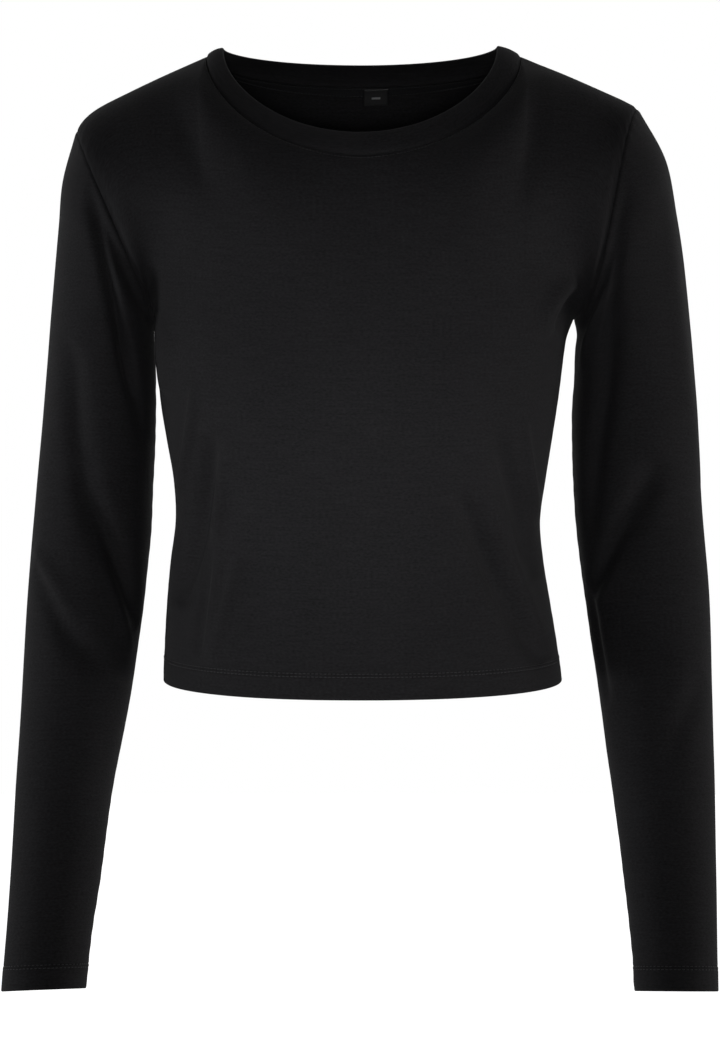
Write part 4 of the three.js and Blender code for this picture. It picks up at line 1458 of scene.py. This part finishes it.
@dataclass(frozen=True)
class Studio:
    """Pale floor, soft lamps and the camera."""

    floor_z: float = -1.35
    floor_size: float = 9.0
    backdrop: float = 1.0
    behind: float = 0.5
    ambient: float = 0.04
    camera_place: tuple[float, float, float] = (0.0, -2.2, -0.1241)
    pitch: float = 5.3148
    lens: float = 107.83
    lamps: tuple[Lamp, ...] = (
        Lamp("left_lamp", (-2.4, -0.5, -0.5), (0, 0, -0.35), (0.6, 1.4), 19, (0.97, 0.98, 1.0)),
        Lamp("right_lamp", (2.4, -0.5, -0.5), (0, 0, -0.35), (0.6, 1.4), 16.5, (1.0, 0.98, 0.975)),
        Lamp("front_lamp", (0.0, -1.7, -0.32), (0, 0, -0.29), (0.14, 0.44), 0.24, spread=20),
    )

    def build(self) -> None:
        """Adds floor, world, lamps and camera."""
        bpy.ops.object.select_all(action="DESELECT")
        bpy.ops.mesh.primitive_plane_add(size=self.floor_size, location=(0, 0, self.floor_z))
        floor = bpy.context.object
        floor.name = "floor"
        bpy.ops.object.transform_apply(location=True, rotation=False, scale=False)
        bpy.ops.object.mode_set(mode="EDIT")
        bpy.ops.mesh.select_all(action="SELECT")
        bpy.ops.mesh.subdivide(number_cuts=4)
        bpy.ops.object.mode_set(mode="OBJECT")
        material, nodes, shader = new_material("pale_floor")
        place = nodes.add("ShaderNodeTexCoord")
        inputs = {"Vector": place.outputs["Object"], "Scale": 0.7, "Detail": 2.0}
        tone = nodes.add("ShaderNodeTexNoise", inputs)
        shade = nodes.add("ShaderNodeValToRGB", {"Fac": tone.outputs[0]})
        shade.color_ramp.elements[0].color = (0.9, 0.9, 0.9, 1)
        shade.color_ramp.elements[1].color = (0.94, 0.94, 0.94, 1)
        material.node_tree.links.new(shade.outputs[0], shader.inputs["Base Color"])
        shader.inputs["Roughness"].default_value = 0.9
        shader.inputs["Emission Color"].default_value = (1, 1, 1, 1)
        seen = nodes.add("ShaderNodeLightPath").outputs["Is Camera Ray"]
        material.node_tree.links.new(seen, shader.inputs["Emission Strength"])
        floor.data.materials.append(material)
        scene = bpy.context.scene
        scene.world = bpy.data.worlds.new("white_studio")
        scene.world.use_nodes = True
        nodes = Nodes(scene.world.node_tree)
        background = scene.world.node_tree.nodes["Background"]
        background.inputs["Color"].default_value = (1, 1, 1, 1)
        ways = nodes.add("ShaderNodeSeparateXYZ", {0: nodes.add("ShaderNodeTexCoord").outputs["Generated"]})
        back = nodes.add("ShaderNodeMapRange", {"Value": ways.outputs["Y"], "From Min": 0.0, "From Max": 0.5,
                                                "To Min": self.ambient, "To Max": self.behind})
        seen = nodes.add("ShaderNodeLightPath").outputs["Is Camera Ray"]
        strength = nodes.math("MAXIMUM", nodes.math("MULTIPLY", seen, self.backdrop), back.outputs["Result"])
        scene.world.node_tree.links.new(strength, background.inputs["Strength"])
        scene.view_settings.view_transform = "Standard"
        for lamp in self.lamps:
            lamp.add()
        camera = bpy.data.objects.new("camera", bpy.data.cameras.new("camera"))
        camera.data.lens = self.lens
        camera.data.clip_end = 30
        camera.location = self.camera_place
        camera.rotation_euler = (QUARTER_TURN - math.radians(self.pitch), 0, 0)
        scene.collection.objects.link(camera)
        scene.camera = camera


@dataclass
class CropTop:
    """The whole garment, its finishes and what each piece stands for."""

    pieces: list[bpy.types.Object] = field(default_factory=list)

    def wear(self, thing: bpy.types.Object, material: bpy.types.Material,
             node: str | None = None) -> None:
        """Dresses a piece, joins it to the body, hides the part's node that it replaces and keeps it among
        the pieces.

        Args:
            thing: the piece.
            material: its finish.
            node: the node that it replaces.
        """
        thing.data.materials.append(material)
        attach(thing, "root")
        if node:
            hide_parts(node)
        self.pieces.append(thing)
        triangles = sum(len(face.vertices) - 2 for face in thing.data.polygons)
        LOG.info("%s: %d triangles", thing.name, triangles)

    def build(self) -> None:
        """Builds and dresses every piece."""
        groups = {"knit": knit_group(), "tone": fuzz_group()}
        keys = ("front_jersey", "back_jersey", "right_sleeve_jersey", "left_sleeve_jersey")
        jersey = {key: ClothFinish(key).material(groups) for key in keys}
        band = ClothFinish("neckband_jersey").material(groups)
        tape = ClothFinish("tape_weave", colour=(0.016, 0.016, 0.0175), deep=(0.009, 0.009, 0.01),
                           roughness=0.6, column=0.0005, course=0.0012).material(groups)
        thread = ThreadFinish("sewing_thread").material()
        front = Panel("front_panel", Face.FRONT, FRONT_FOLDS, 11)
        back = Panel("back_panel", Face.BACK, BACK_FOLDS, 31)
        for panel, key in ((front, "front_jersey"), (back, "back_jersey")):
            cloth = panel.build()
            self.wear(cloth, jersey[key], panel.name)
            rows = STITCH.sew(panel.name + "_hem_rows", [panel.grid.line(row) for row in HEM.rows])
            self.wear(rows, thread)
            neck_row = FINE_STITCH.sew(panel.name + "_neck_row", [self.neck_line(panel)])
            self.wear(neck_row, thread)
        for sleeve, key in ((Sleeve("right_sleeve", RIGHT, 51), "right_sleeve_jersey"),
                            (Sleeve("left_sleeve", LEFT, 52), "left_sleeve_jersey")):
            cloth = sleeve.build()
            self.wear(cloth, jersey[key], sleeve.name)
            rows = STITCH.sew(sleeve.name + "_cuff_rows", [sleeve.grid.line(row) for row in CUFF.rows])
            self.wear(rows, thread)
        ring = Neckband().build()
        self.wear(ring, band, "neckband")
        inside = BackNeck(back)
        strip = inside.build_tape()
        self.wear(strip, tape, "neck_tape")
        rows = FINE_STITCH.sew("neck_tape_rows", inside.tape_rows())
        self.wear(rows, thread)
        label = inside.build_label()
        self.wear(label, LabelFinish("label_weave").material((0.009, 0.0075)), "size_label")

    @staticmethod
    def neck_line(panel: Panel) -> tuple[Array, Array]:
        """The row sewn just below the neck seam."""
        held = np.abs(panel.across) < CUT.neck_share * 0.985
        places, outwards = BackNeck(panel).lines(np.array([NECK_ROW]), 0)
        return places[0][held], outwards[0][held]


def main() -> None:
    """Builds the garment and the studio."""
    logging.basicConfig(level=logging.INFO, format="%(message)s")
    CropTop().build()
    Studio().build()


if __name__ == "__main__":
    main()
